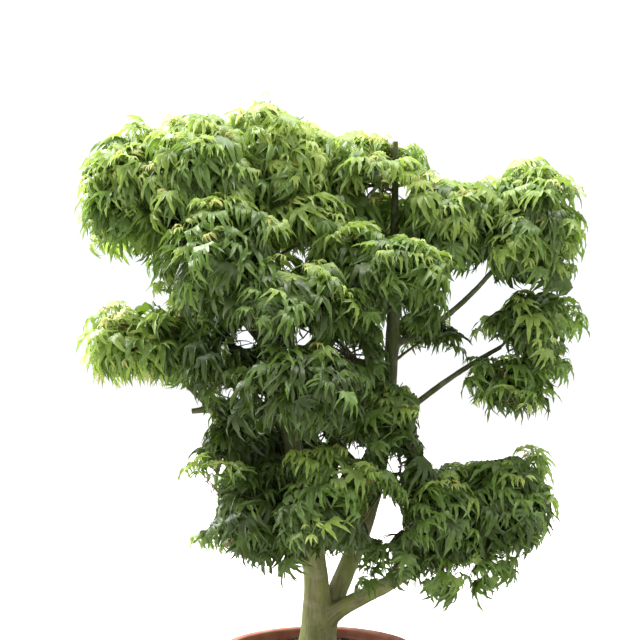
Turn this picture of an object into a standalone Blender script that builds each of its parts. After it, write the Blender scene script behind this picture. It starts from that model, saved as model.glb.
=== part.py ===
"""A Japanese maple, trained as layered pads of leaves, in a plain terracotta pot.

Run with: blender --background --python part.py

Metres, +Z up. The origin is the middle of the pot's flat underside. Heights in the tree's own tables
are measured above the compost, where the trunk has its flat cut.
"""

import math
import random
from dataclasses import dataclass

import bmesh
import bpy
from mathutils import Matrix, Vector
from mathutils.bvhtree import BVHTree

SEED = 11
CLEAR = 0.0003  # the gap that solids keep where they meet

# Pot and compost
POT_HEIGHT = 0.360
POT_FOOT_RADIUS = 0.148
POT_RIM_RADIUS = 0.205
POT_WALL = 0.014
POT_FLOOR = 0.020
RIM_BAND = 0.048  # height of the thicker band under the lip
RIM_STEP = 0.008  # how far that band stands out of the wall
RIM_ROUND = 0.004
POT_STEPS = 32
DRAIN_HOLES = 3
DRAIN_RADIUS = 0.008
DRAIN_CIRCLE = 0.075
COMPOST_DEPTH_BELOW_LIP = 0.018
SOIL = POT_HEIGHT - COMPOST_DEPTH_BELOW_LIP  # height of the compost's surface

# Limbs: each row is (across, back, height above the compost, radius) on a smooth line
TRUNK_LINE = (
    (-0.002, 0.000, 0.000, 0.054),
    (-0.002, 0.000, 0.020, 0.042),
    (-0.002, 0.000, 0.080, 0.030),
    (-0.007, -0.018, 0.200, 0.0228),
    (-0.041, -0.030, 0.395, 0.0188),
    (-0.095, -0.028, 0.632, 0.0130),
    (-0.158, -0.036, 0.852, 0.0080),
)
LEADER_LINE = (
    (0.010, 0.008, 0.042, 0.0200),
    (0.034, 0.020, 0.120, 0.0200),
    (0.100, 0.038, 0.285, 0.0178),
    (0.138, 0.036, 0.470, 0.0148),
    (0.152, 0.022, 0.690, 0.0122),
    (0.155, 0.032, 0.900, 0.0078),
    (0.156, 0.036, 1.043, 0.0050),
)
LOW_BOUGH_LINE = (
    (0.012, -0.002, 0.074, 0.0170),
    (0.054, -0.018, 0.112, 0.0165),
    (0.158, -0.040, 0.171, 0.0135),
    (0.262, -0.042, 0.236, 0.0105),
    (0.306, -0.036, 0.270, 0.0090),
)
LINE_STEPS = 2  # points made for each row
TRUNK_RESOLUTION = 3  # bevel resolution: ten sides
BOUGH_RESOLUTION = 1  # six sides
# Short spurs fused to a limb: the limb, the place along it, which way it points, length, radius
SPURS = {
    "pruned_stub": ("left_mid_bough", 0.70, (-0.97, -0.05, -0.10), 0.050, 0.0060),
    "leader_spur": ("leader", 0.972, (-0.65, -0.10, 0.75), 0.024, 0.0030),
}
SPUR_TAPER = 0.85

# Each pad of leaves: middle (across, back, height), reach (half width, half depth, half height), the
# limb that carries it, the place along that limb, and how far its own bough bows upwards. A pad that
# lies close round its limb has no bough, and where the place is missing too, the limb's tip ends in it.
PADS = {
    "left_top_outer": ((-0.377, -0.023, 0.923), (0.117, 0.160, 0.158), "trunk", 0.72, 0.010),
    "left_top_inner": ((-0.221, -0.081, 0.961), (0.130, 0.173, 0.139), "trunk", None, None),
    "crown_top": ((-0.082, 0.000, 1.006), (0.137, 0.173, 0.150), "trunk", 0.66, -0.030),
    "crown_right": ((0.109, 0.034, 0.956), (0.144, 0.173, 0.124), "leader", 0.90, None),
    "right_top": ((0.264, 0.000, 0.874), (0.132, 0.173, 0.119), "leader", 0.70, 0.012),
    "right_outer": ((0.424, -0.034, 0.859), (0.122, 0.160, 0.149), "leader", 0.60, -0.030),
    "left_front_upper": ((-0.175, -0.196, 0.800), (0.146, 0.148, 0.119), "trunk", 0.78, 0.010),
    "left_front_lower": ((-0.062, -0.230, 0.710), (0.161, 0.160, 0.114), "trunk", 0.62, 0.010),
    "left_mid": ((-0.334, -0.023, 0.615), (0.158, 0.160, 0.113), "trunk", 0.46, -0.016),
    "centre_front": ((-0.033, -0.276, 0.560), (0.146, 0.160, 0.118), "trunk", 0.47, 0.010),
    "centre_right_front": ((0.137, -0.161, 0.769), (0.139, 0.148, 0.105), "leader", 0.62, 0.008),
    "right_mid_inner": ((0.223, 0.046, 0.646), (0.097, 0.111, 0.060), "leader", 0.56, None),
    "right_mid_upper": ((0.414, 0.000, 0.664), (0.128, 0.148, 0.087), "leader", 0.43, 0.010),
    "right_mid_lower": ((0.384, -0.034, 0.537), (0.113, 0.135, 0.076), "right_mid_upper_bough", 0.84, None),
    "centre_stem": ((0.157, -0.069, 0.467), (0.091, 0.138, 0.151), "leader", 0.42, None),
    "left_low": ((-0.167, 0.023, 0.442), (0.125, 0.162, 0.125), "trunk", 0.34, 0.010),
    "bottom_left": ((-0.132, -0.092, 0.301), (0.142, 0.160, 0.129), "trunk", 0.21, 0.010),
    "bottom_centre": ((0.032, -0.161, 0.327), (0.143, 0.163, 0.129), "trunk", 0.24, 0.010),
    "right_low_inner": ((0.216, -0.069, 0.285), (0.135, 0.148, 0.123), "low_right_bough", 0.56, None),
    "right_low_outer": ((0.358, -0.023, 0.308), (0.149, 0.160, 0.127), "low_right_bough", None, None),
    "crown_middle": ((0.008, -0.050, 0.852), (0.115, 0.130, 0.085), "crown_top_bough", 0.68, None),
    "left_centre": ((-0.172, -0.110, 0.585), (0.125, 0.130, 0.110), "trunk", 0.60, None),
    "centre_mid": ((0.052, -0.030, 0.612), (0.110, 0.120, 0.095), "leader", 0.55, None),
    "back_crown": ((-0.039, 0.276, 0.956), (0.172, 0.160, 0.138), "leader", 0.80, 0.010),
    "back_right_top": ((0.221, 0.287, 0.859), (0.158, 0.160, 0.123), "leader", 0.66, 0.010),
    "back_left_top": ((-0.253, 0.253, 0.848), (0.162, 0.160, 0.137), "trunk", 0.70, 0.010),
    "back_left_mid": ((-0.222, 0.276, 0.610), (0.165, 0.168, 0.129), "trunk", 0.50, 0.010),
    "back_centre_mid": ((0.004, 0.299, 0.674), (0.166, 0.168, 0.146), "leader", 0.48, 0.010),
    "back_centre_low": ((0.026, 0.253, 0.440), (0.167, 0.176, 0.134), "leader", 0.30, 0.010),
    "back_bottom": ((-0.092, 0.230, 0.271), (0.156, 0.160, 0.122), "trunk", 0.18, 0.010),
    "back_right_low": ((0.292, 0.230, 0.271), (0.150, 0.160, 0.112), "low_right_bough", 0.40, 0.010),
}
PAD_GAP = 0.0008  # half the gap that two pads keep between them
FENCE_SHARE = 0.97  # how close a pad's core comes to its fences
BOUGH_SHARE = 0.72  # a bough's thickness at its start, as a share of its parent's there
BOUGH_START = 0.0085  # and the most that it may be
BOUGH_TAPER = 0.62
BOUGH_STEPS = 5
ENTRY = 0.90  # where a bough ends, as a share of the way out to the core's surface
TIP = 0.985  # where on its bough a pad's stem starts
SHARP = math.radians(50)

# Foliage
CORE_SHARE = 0.62  # the dense middle of a pad, as a share of its reach
CORE_BELLY = 0.62  # how much flatter the core is underneath
CORE_SPIKE = 1.42  # how far the core's twelve points stand out, and how far the rest is drawn in
CORE_WAIST = 0.92
CORE_SAG = 0.16  # how far its points hang down, as a share of the reach
CORE_ROUGHNESS = 0.12
MOST_LEAVES = 11  # on a pad
LEAF_TRIES = 26
LEAF_SPAN = 0.100  # a leaf here stands for a spray of three or four
LEAF_THICK = 0.0034
LEAF_DROOP = 0.16
LEAF_OUT = 0.30  # how far a leaf stands away from the pad, against how far it hangs down
TOP_LEAF_OUT = 0.55  # and how much more it does on the very top
LOWEST_LEAF = -0.60  # how far round the underside leaves grow, as the sine of the latitude
LEAF_FITS = ((1.0, 1.0), (0.95, 1.0), (0.90, 0.94), (0.86, 0.86), (0.82, 0.76))  # how far out and large
LEAF_SEAT = 0.60  # how far a leaf's base lies back from the pad's surface, in spans
LEAF_CLEAR = 0.0012  # what leaves keep clear of limbs, and their twigs
TWIG_CLEAR = 0.0040
LOBES = ((0.0, 1.0), (44.0, 0.92), (94.0, 0.64))  # angle from the middle lobe, length
NOTCHES = ((21.0, 0.40), (69.0, 0.34))
HEEL = 0.12  # how far a leaf's base stands back from where its lobes meet
HUB = 0.16  # where it is thickest
TWIG_END = 0.11  # and where its twig ends
STEM_RADIUS = 0.0040
STEM_SHARE = 0.80  # the most of its limb's thickness that a pad's stem has there
STEM_TAPER = 0.70
TWIG_RADII = (0.0030, 0.0018)
TWIG_ROOT = 0.30  # where a twig leaves the stem's end, as a share of the way to its leaf
GOLDEN_ANGLE = math.pi * (3 - math.sqrt(5))

COLOURS = {  # sRGB, roughness
    "terracotta": ((0.66, 0.36, 0.24), 0.85),
    "compost": ((0.16, 0.12, 0.09), 0.95),
    "bark": ((0.40, 0.41, 0.26), 0.80),
    "leaf": ((0.27, 0.43, 0.14), 0.50),
}


@dataclass
class Limb:
    """A tapering limb as a smooth line of points in world space, with a radius at each."""

    points: list
    radii: list

    def at(self, share):
        """The point and radius at this share of the limb's length."""
        lengths = [(b - a).length for a, b in zip(self.points, self.points[1:])]
        left = share * sum(lengths)
        for i, length in enumerate(lengths):
            if left <= length or i == len(lengths) - 1:
                t = min(left / length, 1.0)
                radius = self.radii[i] + t * (self.radii[i + 1] - self.radii[i])
                return self.points[i].lerp(self.points[i + 1], t), radius
            left -= length

    def distance(self, point):
        """How far a point is outside the limb's surface."""
        nearest = math.inf
        spans = zip(self.points, self.points[1:], self.radii, self.radii[1:])
        for a, b, radius_a, radius_b in spans:
            along = b - a
            t = max(0.0, min(1.0, (point - a).dot(along) / along.length_squared))
            gap = (point - a - along * t).length - (radius_a + t * (radius_b - radius_a))
            nearest = min(nearest, gap)
        return nearest


@dataclass
class Pad:
    """A mass of foliage: an ellipsoid of space, less what lies over the fences to its neighbours."""

    name: str
    middle: Vector
    reach: Vector
    fences: list = None

    def support(self, direction):
        """How far the ellipsoid reaches in a direction, for the plane square to it."""
        return Vector(r * d for r, d in zip(self.reach, direction)).length

    def radius(self, direction):
        """The distance from the middle to the ellipsoid's surface in a direction."""
        return 1.0 / Vector(d / r for r, d in zip(self.reach, direction)).length

    def core_radius(self, direction):
        """The distance from the middle to the surface of the dense core in a direction."""
        radius = self.radius(direction) * CORE_SHARE
        if direction.z < 0:
            radius *= 1 + direction.z * (1 - CORE_BELLY)
        return min(radius, FENCE_SHARE * self.room(direction))

    def room(self, direction):
        """The distance from the middle to the nearest fence in a direction."""
        facing = [(limit, normal.dot(direction)) for normal, limit in self.fences]
        return min((limit / rate for limit, rate in facing if rate > 1e-6), default=math.inf)

    def holds(self, point):
        offset = point - self.middle
        inside = Vector(o / r for o, r in zip(offset, self.reach)).length <= 1.0
        return inside and all(normal.dot(offset) <= limit for normal, limit in self.fences)


def linear(colour):
    return [c / 12.92 if c <= 0.04045 else ((c + 0.055) / 1.055) ** 2.4 for c in colour]


def make_material(name):
    colour, roughness = COLOURS[name]
    material = bpy.data.materials.new(name)
    material.use_nodes = True
    shader = material.node_tree.nodes["Principled BSDF"]
    shader.inputs["Base Color"].default_value = (*linear(colour), 1.0)
    shader.inputs["Roughness"].default_value = roughness
    shader.inputs["Metallic"].default_value = 0.0
    return material


def new_object(name, mesh, collection, material=None):
    if material:
        mesh.materials.append(material)
    made = bpy.data.objects.new(name, mesh)
    collection.objects.link(made)
    return made


def object_from_bmesh(name, shape, collection, material=None):
    mesh = bpy.data.meshes.new(name)
    shape.to_mesh(mesh)
    shape.free()
    return new_object(name, mesh, collection, material)


def remove(*objects):
    for unwanted in objects:
        bpy.data.objects.remove(unwanted)


def applied(target):
    """Bakes the target's modifiers into its mesh."""
    bpy.context.view_layer.update()
    graph = bpy.context.evaluated_depsgraph_get()
    mesh = bpy.data.meshes.new_from_object(target.evaluated_get(graph))
    target.modifiers.clear()
    target.data = mesh
    return target


def boolean(target, operation, other=None, collection=None):
    """Joins or cuts. The exact solver can leave an open seam where it cuts a leaf, so it only joins."""
    step = target.modifiers.new(operation.lower(), "BOOLEAN")
    step.operation = operation
    step.solver = "EXACT" if operation == "UNION" else "MANIFOLD"
    if collection:
        step.operand_type = "COLLECTION"
        step.collection = collection
    else:
        step.object = other
    return applied(target)


def keep_largest_body(target):
    """Drops the loose scraps that a cut leaves."""
    shape = bmesh.new()
    shape.from_mesh(target.data)
    left = set(shape.verts)
    bodies = []
    while left:
        body, edge_of_body = set(), [left.pop()]
        while edge_of_body:
            vert = edge_of_body.pop()
            body.add(vert)
            for edge in vert.link_edges:
                other = edge.other_vert(vert)
                if other in left:
                    left.discard(other)
                    edge_of_body.append(other)
        bodies.append(body)
    bodies.sort(key=len)
    scraps = [vert for body in bodies[:-1] for vert in body]
    bmesh.ops.delete(shape, geom=scraps, context="VERTS")
    shape.to_mesh(target.data)
    shape.free()


# Limbs ---------------------------------------------------------------------------------------------


def smooth_line(rows):
    """A Catmull-Rom line through rows of (x, y, height, radius), lifted on to the compost."""
    rows = [Vector(row) for row in rows]
    ends = [rows[0] * 2 - rows[1], *rows, rows[-1] * 2 - rows[-2]]
    line = []
    for before, a, b, after in zip(ends, ends[1:], ends[2:], ends[3:]):
        for step in range(LINE_STEPS):
            t = step / LINE_STEPS
            slope = (b - before) * t
            curve = (2 * before - 5 * a + 4 * b - after) * t**2
            twist = (3 * a - before - 3 * b + after) * t**3
            line.append(a + (slope + curve + twist) / 2)
    line.append(rows[-1])
    return Limb([row.xyz + Vector((0, 0, SOIL)) for row in line], [row.w for row in line])


def bowed_line(start, end, bow, radius_start, radius_end):
    """A bough from start to end that bows upwards by that much at its middle."""
    bend = (start + end) / 2 + Vector((0, 0, 2 * bow))
    points, radii = [], []
    for i in range(BOUGH_STEPS + 1):
        t = i / BOUGH_STEPS
        points.append(start * (1 - t) ** 2 + bend * 2 * t * (1 - t) + end * t**2)
        radii.append(radius_start + (radius_end - radius_start) * t)
    return Limb(points, radii)


def limb_object(name, limb, collection, grow=0.0, material=None):
    """A closed tapered tube along the limb. With grow it is that much larger all round, as a cutter is."""
    resolution = TRUNK_RESOLUTION if name in ("trunk", "leader") else BOUGH_RESOLUTION
    curve = bpy.data.curves.new(name, "CURVE")
    curve.dimensions = "3D"
    curve.bevel_depth = 1.0
    curve.bevel_resolution = resolution
    curve.use_fill_caps = True
    points = [point.copy() for point in limb.points]
    if grow:
        points[0] += (points[0] - points[1]).normalized() * grow
        points[-1] += (points[-1] - points[-2]).normalized() * grow
    spline = curve.splines.new("POLY")
    spline.points.add(len(points) - 1)
    sides = 4 + 2 * resolution
    for knot, point, radius in zip(spline.points, points, limb.radii):
        knot.co = (*point, 1.0)
        knot.radius = radius + grow / math.cos(math.pi / sides)
    tube = bpy.data.objects.new(name, curve)
    collection.objects.link(tube)
    bpy.context.view_layer.update()
    graph = bpy.context.evaluated_depsgraph_get()
    mesh = bpy.data.meshes.new_from_object(tube.evaluated_get(graph))
    remove(tube)
    shape = bmesh.new()
    shape.from_mesh(mesh)
    bmesh.ops.remove_doubles(shape, verts=shape.verts, dist=1e-5)
    bmesh.ops.recalc_face_normals(shape, faces=shape.faces)
    shape.to_mesh(mesh)
    shape.free()
    return new_object(name, mesh, collection, material)


def build_limbs(pads, tree, cutters, bark):
    """Every limb, each cut to fit the one that carries it. Returns the limbs and the solids."""
    limbs = {
        "trunk": smooth_line(TRUNK_LINE),
        "leader": smooth_line(LEADER_LINE),
        "low_right_bough": smooth_line(LOW_BOUGH_LINE),
    }
    limbs["trunk"].points[0].z += CLEAR
    parents = {"leader": ["trunk"], "low_right_bough": ["trunk", "leader"]}
    for name, (_, _, parent, place, bow) in PADS.items():
        if bow is None:
            continue
        pad = pads[name]
        start, radius = limbs[parent].at(place)
        back = (start - pad.middle).normalized()
        end = pad.middle + back * ENTRY * pad.core_radius(back)
        thick = min(radius * BOUGH_SHARE, BOUGH_START)
        bough = name + "_bough"
        limbs[bough] = bowed_line(start, end, bow, thick, thick * BOUGH_TAPER)
        parents[bough] = [parent]
    solids = {name: limb_object(name, limb, tree, material=bark) for name, limb in limbs.items()}
    for name, solid in solids.items():
        for parent in parents.get(name, ()):
            cut_clear_of(solid, parent, limbs[parent], cutters)
    for name, (carrier, place, way, length, radius) in SPURS.items():
        start, _ = limbs[carrier].at(place)
        end = start + Vector(way).normalized() * length
        limbs[name] = Limb([start, end], [radius, radius * SPUR_TAPER])
        spur = limb_object(name, limbs[name], cutters)
        boolean(solids[carrier], "UNION", other=spur)
        remove(spur)
    return limbs, solids


def cut_clear_of(solid, name, limb, cutters):
    """Cuts the solid so that it keeps its clearance to a limb, and drops what the cut leaves loose."""
    cutter = limb_object(name, limb, cutters, grow=CLEAR)
    boolean(solid, "DIFFERENCE", other=cutter)
    remove(cutter)
    keep_largest_body(solid)


# Foliage -------------------------------------------------------------------------------------------


def make_pads():
    lift = Vector((0, 0, SOIL))
    pads = {name: Pad(name, Vector(row[0]) + lift, Vector(row[1])) for name, row in PADS.items()}
    for pad in pads.values():
        pad.fences = []
        for other in pads.values():
            if other is pad:
                continue
            between = other.middle - pad.middle
            normal = between.normalized()
            mine, theirs = pad.support(normal), other.support(normal)
            pad.fences.append((normal, between.length * mine / (mine + theirs) - PAD_GAP))
    return pads


def core_object(pad, rng, collection, material):
    """The dense middle: a rough dome with drooping points, kept inside the pad's fences."""
    shape = bmesh.new()
    bmesh.ops.create_icosphere(shape, subdivisions=2, radius=1.0)
    points = [vert for vert in shape.verts if len(vert.link_edges) == 5]
    for vert in shape.verts:
        direction = Vector(r * d for r, d in zip(pad.reach, vert.co)).normalized()
        length = pad.core_radius(direction) * (1 - rng.uniform(0, CORE_ROUGHNESS))
        offset = direction * length * CORE_WAIST
        if vert in points:
            offset = direction * length * CORE_SPIKE - Vector((0, 0, CORE_SAG * pad.reach.z))
        offset *= min(1.0, FENCE_SHARE * pad.room(offset.normalized()) / offset.length)
        vert.co = pad.middle + offset
    return object_from_bmesh(pad.name, shape, collection, material)


def leaf_outline():
    """Angle and length of each point round a leaf, from the heel on one side to the heel again."""
    half = sorted([*LOBES[1:], *NOTCHES])
    right = [(-angle, length) for angle, length in reversed(half)]
    return [(180.0, HEEL), *right, LOBES[0], *half]


def leaf_object(place, axis, normal, span, collection):
    """A palmate leaf whose lobes droop: a flat ten-sided double cone with its rim pulled into lobes."""
    outline = leaf_outline()
    shape = bmesh.new()
    bmesh.ops.create_circle(shape, cap_ends=True, cap_tris=True, segments=len(outline), radius=1.0)
    rim = [vert for vert in shape.verts if vert.co.length > 0.5]
    hub = next(vert for vert in shape.verts if vert.co.length < 0.5)
    rim.sort(key=lambda vert: math.atan2(vert.co.y, vert.co.x) % (2 * math.pi))
    for vert, (angle, length) in zip(rim, outline):
        angle = math.radians(angle)
        across = length * math.sin(angle)
        along = length * math.cos(angle)
        vert.co = Vector((along, across, -LEAF_DROOP * length**2)) * span
    hub.co = Vector((HUB * span, 0, LEAF_THICK / 2))
    top = list(shape.faces)
    under = bmesh.ops.duplicate(shape, geom=[hub, *top])["vert_map"][hub]
    under.co.z = -LEAF_THICK / 2
    bmesh.ops.remove_doubles(shape, verts=shape.verts, dist=1e-6)
    bmesh.ops.recalc_face_normals(shape, faces=shape.faces)
    side = normal.cross(axis).normalized()
    turn = Matrix((axis, side, axis.cross(side))).transposed().to_4x4()
    turn.translation = place
    bmesh.ops.transform(shape, matrix=turn, verts=shape.verts)
    return object_from_bmesh("leaf", shape, collection)


def twig_object(start, end, radii, collection):
    """A three-sided twig from start to end."""
    along = end - start
    shape = bmesh.new()
    bmesh.ops.create_cone(
        shape, cap_ends=True, segments=3, radius1=radii[0], radius2=radii[1], depth=along.length
    )
    turn = along.to_track_quat("Z", "Y").to_matrix().to_4x4()
    turn.translation = (start + end) / 2
    bmesh.ops.transform(shape, matrix=turn, verts=shape.verts)
    return object_from_bmesh("twig", shape, collection)


def leaf_frame(direction):
    """The axis and the upper normal of a leaf that grows from the pad in this direction."""
    level = Vector((direction.x, direction.y, 0.0))
    outwards = level.normalized() if level.length > 1e-4 else Vector((1, 0, 0))
    downhill = outwards * direction.z + Vector((0, 0, -level.length))
    axis = (downhill + direction * (LEAF_OUT + TOP_LEAF_OUT * max(0.0, direction.z) ** 2)).normalized()
    side = direction.cross(axis).normalized()
    return axis, axis.cross(side).normalized()


def leaf_directions(rng):
    """Directions spread evenly over the top and sides of a pad, in a spiral with a little play."""
    turn = rng.uniform(0, 2 * math.pi)
    for i in rng.sample(range(LEAF_TRIES), LEAF_TRIES):
        height = 1 - (i + 0.35) / LEAF_TRIES * (1 - LOWEST_LEAF)
        height = max(-1.0, min(1.0, height + rng.uniform(-0.05, 0.05)))
        angle = turn + i * GOLDEN_ANGLE + rng.uniform(-0.2, 0.2)
        level = math.sqrt(1 - height**2)
        yield Vector((level * math.cos(angle), level * math.sin(angle), height))


def surface_tree(target):
    mesh = target.data
    return BVHTree.FromPolygons([v.co for v in mesh.vertices], [tuple(p.vertices) for p in mesh.polygons])


def leaf_fits(leaf, pad, near_limbs, taken):
    """Whether a leaf keeps to its pad and is clear of the limbs and of what already grows there."""
    corners = [vert.co for vert in leaf.data.vertices]
    if not all(pad.holds(corner) for corner in corners):
        return False
    samples = corners + [(a + b) / 2 for a in corners for b in corners]
    if not all(limb.distance(point) > LEAF_CLEAR for limb in near_limbs for point in samples):
        return False
    tree = surface_tree(leaf)
    return not any(tree.overlap(other) for other in taken)


def add_leaf(pad, direction, near_limbs, taken, parts):
    """A leaf in this direction and the twig that carries it, as far out and as large as fits."""
    axis, normal = leaf_frame(direction)
    surface = Vector(r * d for r, d in zip(pad.reach, direction))
    outermost = min(1.0, pad.room(surface.normalized()) / surface.length)
    for out, size in LEAF_FITS:
        span = LEAF_SPAN * size
        place = pad.middle + surface * outermost * out - axis * span * LEAF_SEAT
        leaf = leaf_object(place, axis, normal, span, parts)
        if leaf_fits(leaf, pad, near_limbs, taken):
            root = pad.middle.lerp(place, TWIG_ROOT)
            end = place + axis * span * TWIG_END
            along = [root.lerp(end, t / 8) for t in range(9)]
            if all(limb.distance(point) > TWIG_CLEAR for limb in near_limbs for point in along):
                taken.append(surface_tree(leaf))
                twig_object(root, end, TWIG_RADII, parts)
                return True
        remove(leaf)
    return False


def build_pad(pad, limbs, carrier, tree, cutters, leafy):
    """One pad: its core, its stem and its leafy twigs, fused, and cut clear of every limb near it."""
    rng = random.Random(f"{SEED} {pad.name}")
    limb, place = carrier
    start, radius = limb.at(place)
    near = {name: other for name, other in limbs.items() if other.distance(pad.middle) < max(pad.reach)}
    core = core_object(pad, rng, tree, leafy)
    parts = bpy.data.collections.new(pad.name + " parts")
    bpy.context.scene.collection.children.link(parts)
    stem = min(STEM_RADIUS, STEM_SHARE * radius)
    twig_object(start, pad.middle, (stem, stem * STEM_TAPER), parts)
    taken = [surface_tree(core)]
    directions = leaf_directions(rng)
    grown = 0
    while grown < MOST_LEAVES and (direction := next(directions, None)):
        grown += add_leaf(pad, direction, near.values(), taken, parts)
    boolean(core, "UNION", collection=parts)
    remove(*parts.objects)
    bpy.data.collections.remove(parts)
    for name, other in near.items():
        cut_clear_of(core, name, other, cutters)


# Pot -----------------------------------------------------------------------------------------------


def pot_profile():
    """The pot's wall as (radius, height), down the outside and up the inside."""
    slope = (POT_RIM_RADIUS - RIM_STEP - POT_FOOT_RADIUS) / POT_HEIGHT
    band = POT_HEIGHT - RIM_BAND
    wall_at_band = POT_FOOT_RADIUS + slope * band
    inner_foot = POT_FOOT_RADIUS + slope * POT_FLOOR - POT_WALL
    inner_lip = POT_RIM_RADIUS - RIM_STEP - POT_WALL
    return [
        (inner_lip + RIM_ROUND, POT_HEIGHT),
        (POT_RIM_RADIUS - RIM_ROUND, POT_HEIGHT),
        (POT_RIM_RADIUS, POT_HEIGHT - RIM_ROUND),
        (POT_RIM_RADIUS - RIM_ROUND / 2, band + RIM_ROUND),
        (wall_at_band, band - RIM_ROUND),
        (POT_FOOT_RADIUS + slope * RIM_ROUND, RIM_ROUND),
        (POT_FOOT_RADIUS - RIM_ROUND, 0.0),
        (0.0, 0.0),
        (0.0, POT_FLOOR),
        (inner_foot, POT_FLOOR),
        (inner_lip, POT_HEIGHT - RIM_ROUND),
    ]


def inner_radius(height):
    (foot_radius, foot_height), (lip_radius, lip_height) = pot_profile()[-2:]
    return foot_radius + (lip_radius - foot_radius) * (height - foot_height) / (lip_height - foot_height)


def build_pot(tree, cutters, terracotta):
    shape = bmesh.new()
    ring = [shape.verts.new((radius, 0.0, height)) for radius, height in pot_profile()]
    for a, b in zip(ring, ring[1:] + ring[:1]):
        if a.co.x > 0 or b.co.x > 0:
            shape.edges.new((a, b))
    pot = object_from_bmesh("pot", shape, tree, terracotta)
    turned = pot.modifiers.new("turned", "SCREW")
    turned.steps = turned.render_steps = POT_STEPS
    turned.use_merge_vertices = True
    turned.merge_threshold = 1e-5
    applied(pot)
    for i in range(DRAIN_HOLES):
        angle = 2 * math.pi * (i + 0.5) / DRAIN_HOLES
        hole = bmesh.new()
        bmesh.ops.create_cone(
            hole,
            cap_ends=True,
            segments=10,
            radius1=DRAIN_RADIUS,
            radius2=DRAIN_RADIUS,
            depth=4 * POT_FLOOR,
        )
        where = Vector((math.cos(angle), math.sin(angle), 0)) * DRAIN_CIRCLE
        bmesh.ops.translate(hole, verts=hole.verts, vec=where)
        cutter = object_from_bmesh("drain hole", hole, cutters)
        boolean(pot, "DIFFERENCE", other=cutter)
        remove(cutter)
    return pot


def build_compost(tree, compost):
    """The compost fills the pot to just below its lip, and its top is level."""
    fit = math.cos(math.pi / POT_STEPS)
    foot = POT_FLOOR + CLEAR
    shape = bmesh.new()
    bmesh.ops.create_cone(
        shape,
        cap_ends=True,
        segments=POT_STEPS,
        radius1=inner_radius(foot) * fit - CLEAR,
        radius2=inner_radius(SOIL) * fit - CLEAR,
        depth=SOIL - foot,
    )
    bmesh.ops.translate(shape, verts=shape.verts, vec=(0, 0, (SOIL + foot) / 2))
    return object_from_bmesh("compost", shape, tree, compost)


def main():
    for existing in list(bpy.data.objects):
        bpy.data.objects.remove(existing)
    tree = bpy.data.collections.new("Potted Japanese maple")
    cutters = bpy.data.collections.new("Cutters")
    for collection in (tree, cutters):
        bpy.context.scene.collection.children.link(collection)
    cutters.hide_render = True
    materials = {name: make_material(name) for name in COLOURS}

    pot = build_pot(tree, cutters, materials["terracotta"])
    build_compost(tree, materials["compost"])
    pads = make_pads()
    limbs, solids = build_limbs(pads, tree, cutters, materials["bark"])
    for name, (_, _, parent, place, bow) in PADS.items():
        carrier = limbs[parent] if bow is None else limbs[name + "_bough"]
        along = place if bow is None and place else TIP
        build_pad(pads[name], limbs, (carrier, along), tree, cutters, materials["leaf"])
    for solid in (pot, *solids.values()):
        solid.data.shade_smooth()
        solid.data.set_sharp_from_angle(angle=SHARP)


main()
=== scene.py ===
"""A potted Japanese maple, trained and pruned into layered pads of drooping leaves.

The sizes are metres and the frame is that of the packed model: +Z up, with the origin in the middle of
the pot's flat underside. Heights in the tree's own tables are measured above the compost.
"""

import math
import random
from collections import namedtuple
from dataclasses import dataclass

import bmesh
import bpy
import numpy as np
from bpy.props import FloatProperty, FloatVectorProperty, IntProperty, PointerProperty
from mathutils import Matrix, Vector, noise


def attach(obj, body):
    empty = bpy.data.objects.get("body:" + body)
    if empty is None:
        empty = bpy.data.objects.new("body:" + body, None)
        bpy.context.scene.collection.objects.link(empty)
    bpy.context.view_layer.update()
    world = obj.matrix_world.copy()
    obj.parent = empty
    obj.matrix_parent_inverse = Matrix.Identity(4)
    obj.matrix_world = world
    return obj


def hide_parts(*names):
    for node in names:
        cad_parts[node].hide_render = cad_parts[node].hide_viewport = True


bl_info = {
    "name": "Potted Japanese Maple",
    "version": (1, 0, 0),
    "blender": (4, 5, 0),
    "location": "View3D > Sidebar > Maple",
    "description": "A Japanese maple in layered pads of leaves, in a terracotta pot",
    "category": "Add Mesh",
}

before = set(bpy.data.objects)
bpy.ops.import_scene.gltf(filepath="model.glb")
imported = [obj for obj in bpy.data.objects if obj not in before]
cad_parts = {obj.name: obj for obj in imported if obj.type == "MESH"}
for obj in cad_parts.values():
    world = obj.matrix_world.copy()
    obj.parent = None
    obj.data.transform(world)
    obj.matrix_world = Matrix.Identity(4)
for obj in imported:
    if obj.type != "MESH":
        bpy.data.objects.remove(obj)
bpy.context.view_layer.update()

SEED = 11
GOLDEN_ANGLE = math.pi * (3 - math.sqrt(5))
TURN = 2 * math.pi
UP = Vector((0, 0, 1))

# Pot and compost
POT_HEIGHT = 0.360
POT_FOOT_RADIUS = 0.148
POT_RIM_RADIUS = 0.205
POT_WALL = 0.014
POT_FLOOR = 0.020
RIM_BAND = 0.048
RIM_STEP = 0.008
BAND_HOLLOW = 0.0008  # how far the band dips in at its middle
LIP_ROUND = 0.0055
EDGE_ROUND = 0.004
FLAT_RING = 0.02  # the smallest ring round the middle of its two flat faces
FLAT_EDGE = 0.006  # how far in from the foot's radius the underside's last flat ring is
WALL_ENDS = (0.010, 0.007)  # how far the wall's rings keep from the ground and from the band
WALL_CORNER = 0.003  # how far under the band the corner with the wall is rounded
BAND_CORNER = (0.0045, 0.005)  # the middle of the band's lower corner, in from the lip and up from its edge
BAND_FACE = (0.008, 0.030)  # where the band's face starts above its lower edge, and how high it is
INNER_WALL = (0.010, 0.06)  # how far under the lip it starts, and the share of its height where it ends
RINGS, RING_DEPTH = 130, 0.00035  # marks of the wheel: how many to the metre and how deep
HAND, HAND_DEPTH = 9, 0.0007  # and how far the wall is out of round
DRAIN_HOLES = 3
DRAIN_RADIUS = 0.008
DRAIN_CIRCLE = 0.075
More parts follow.
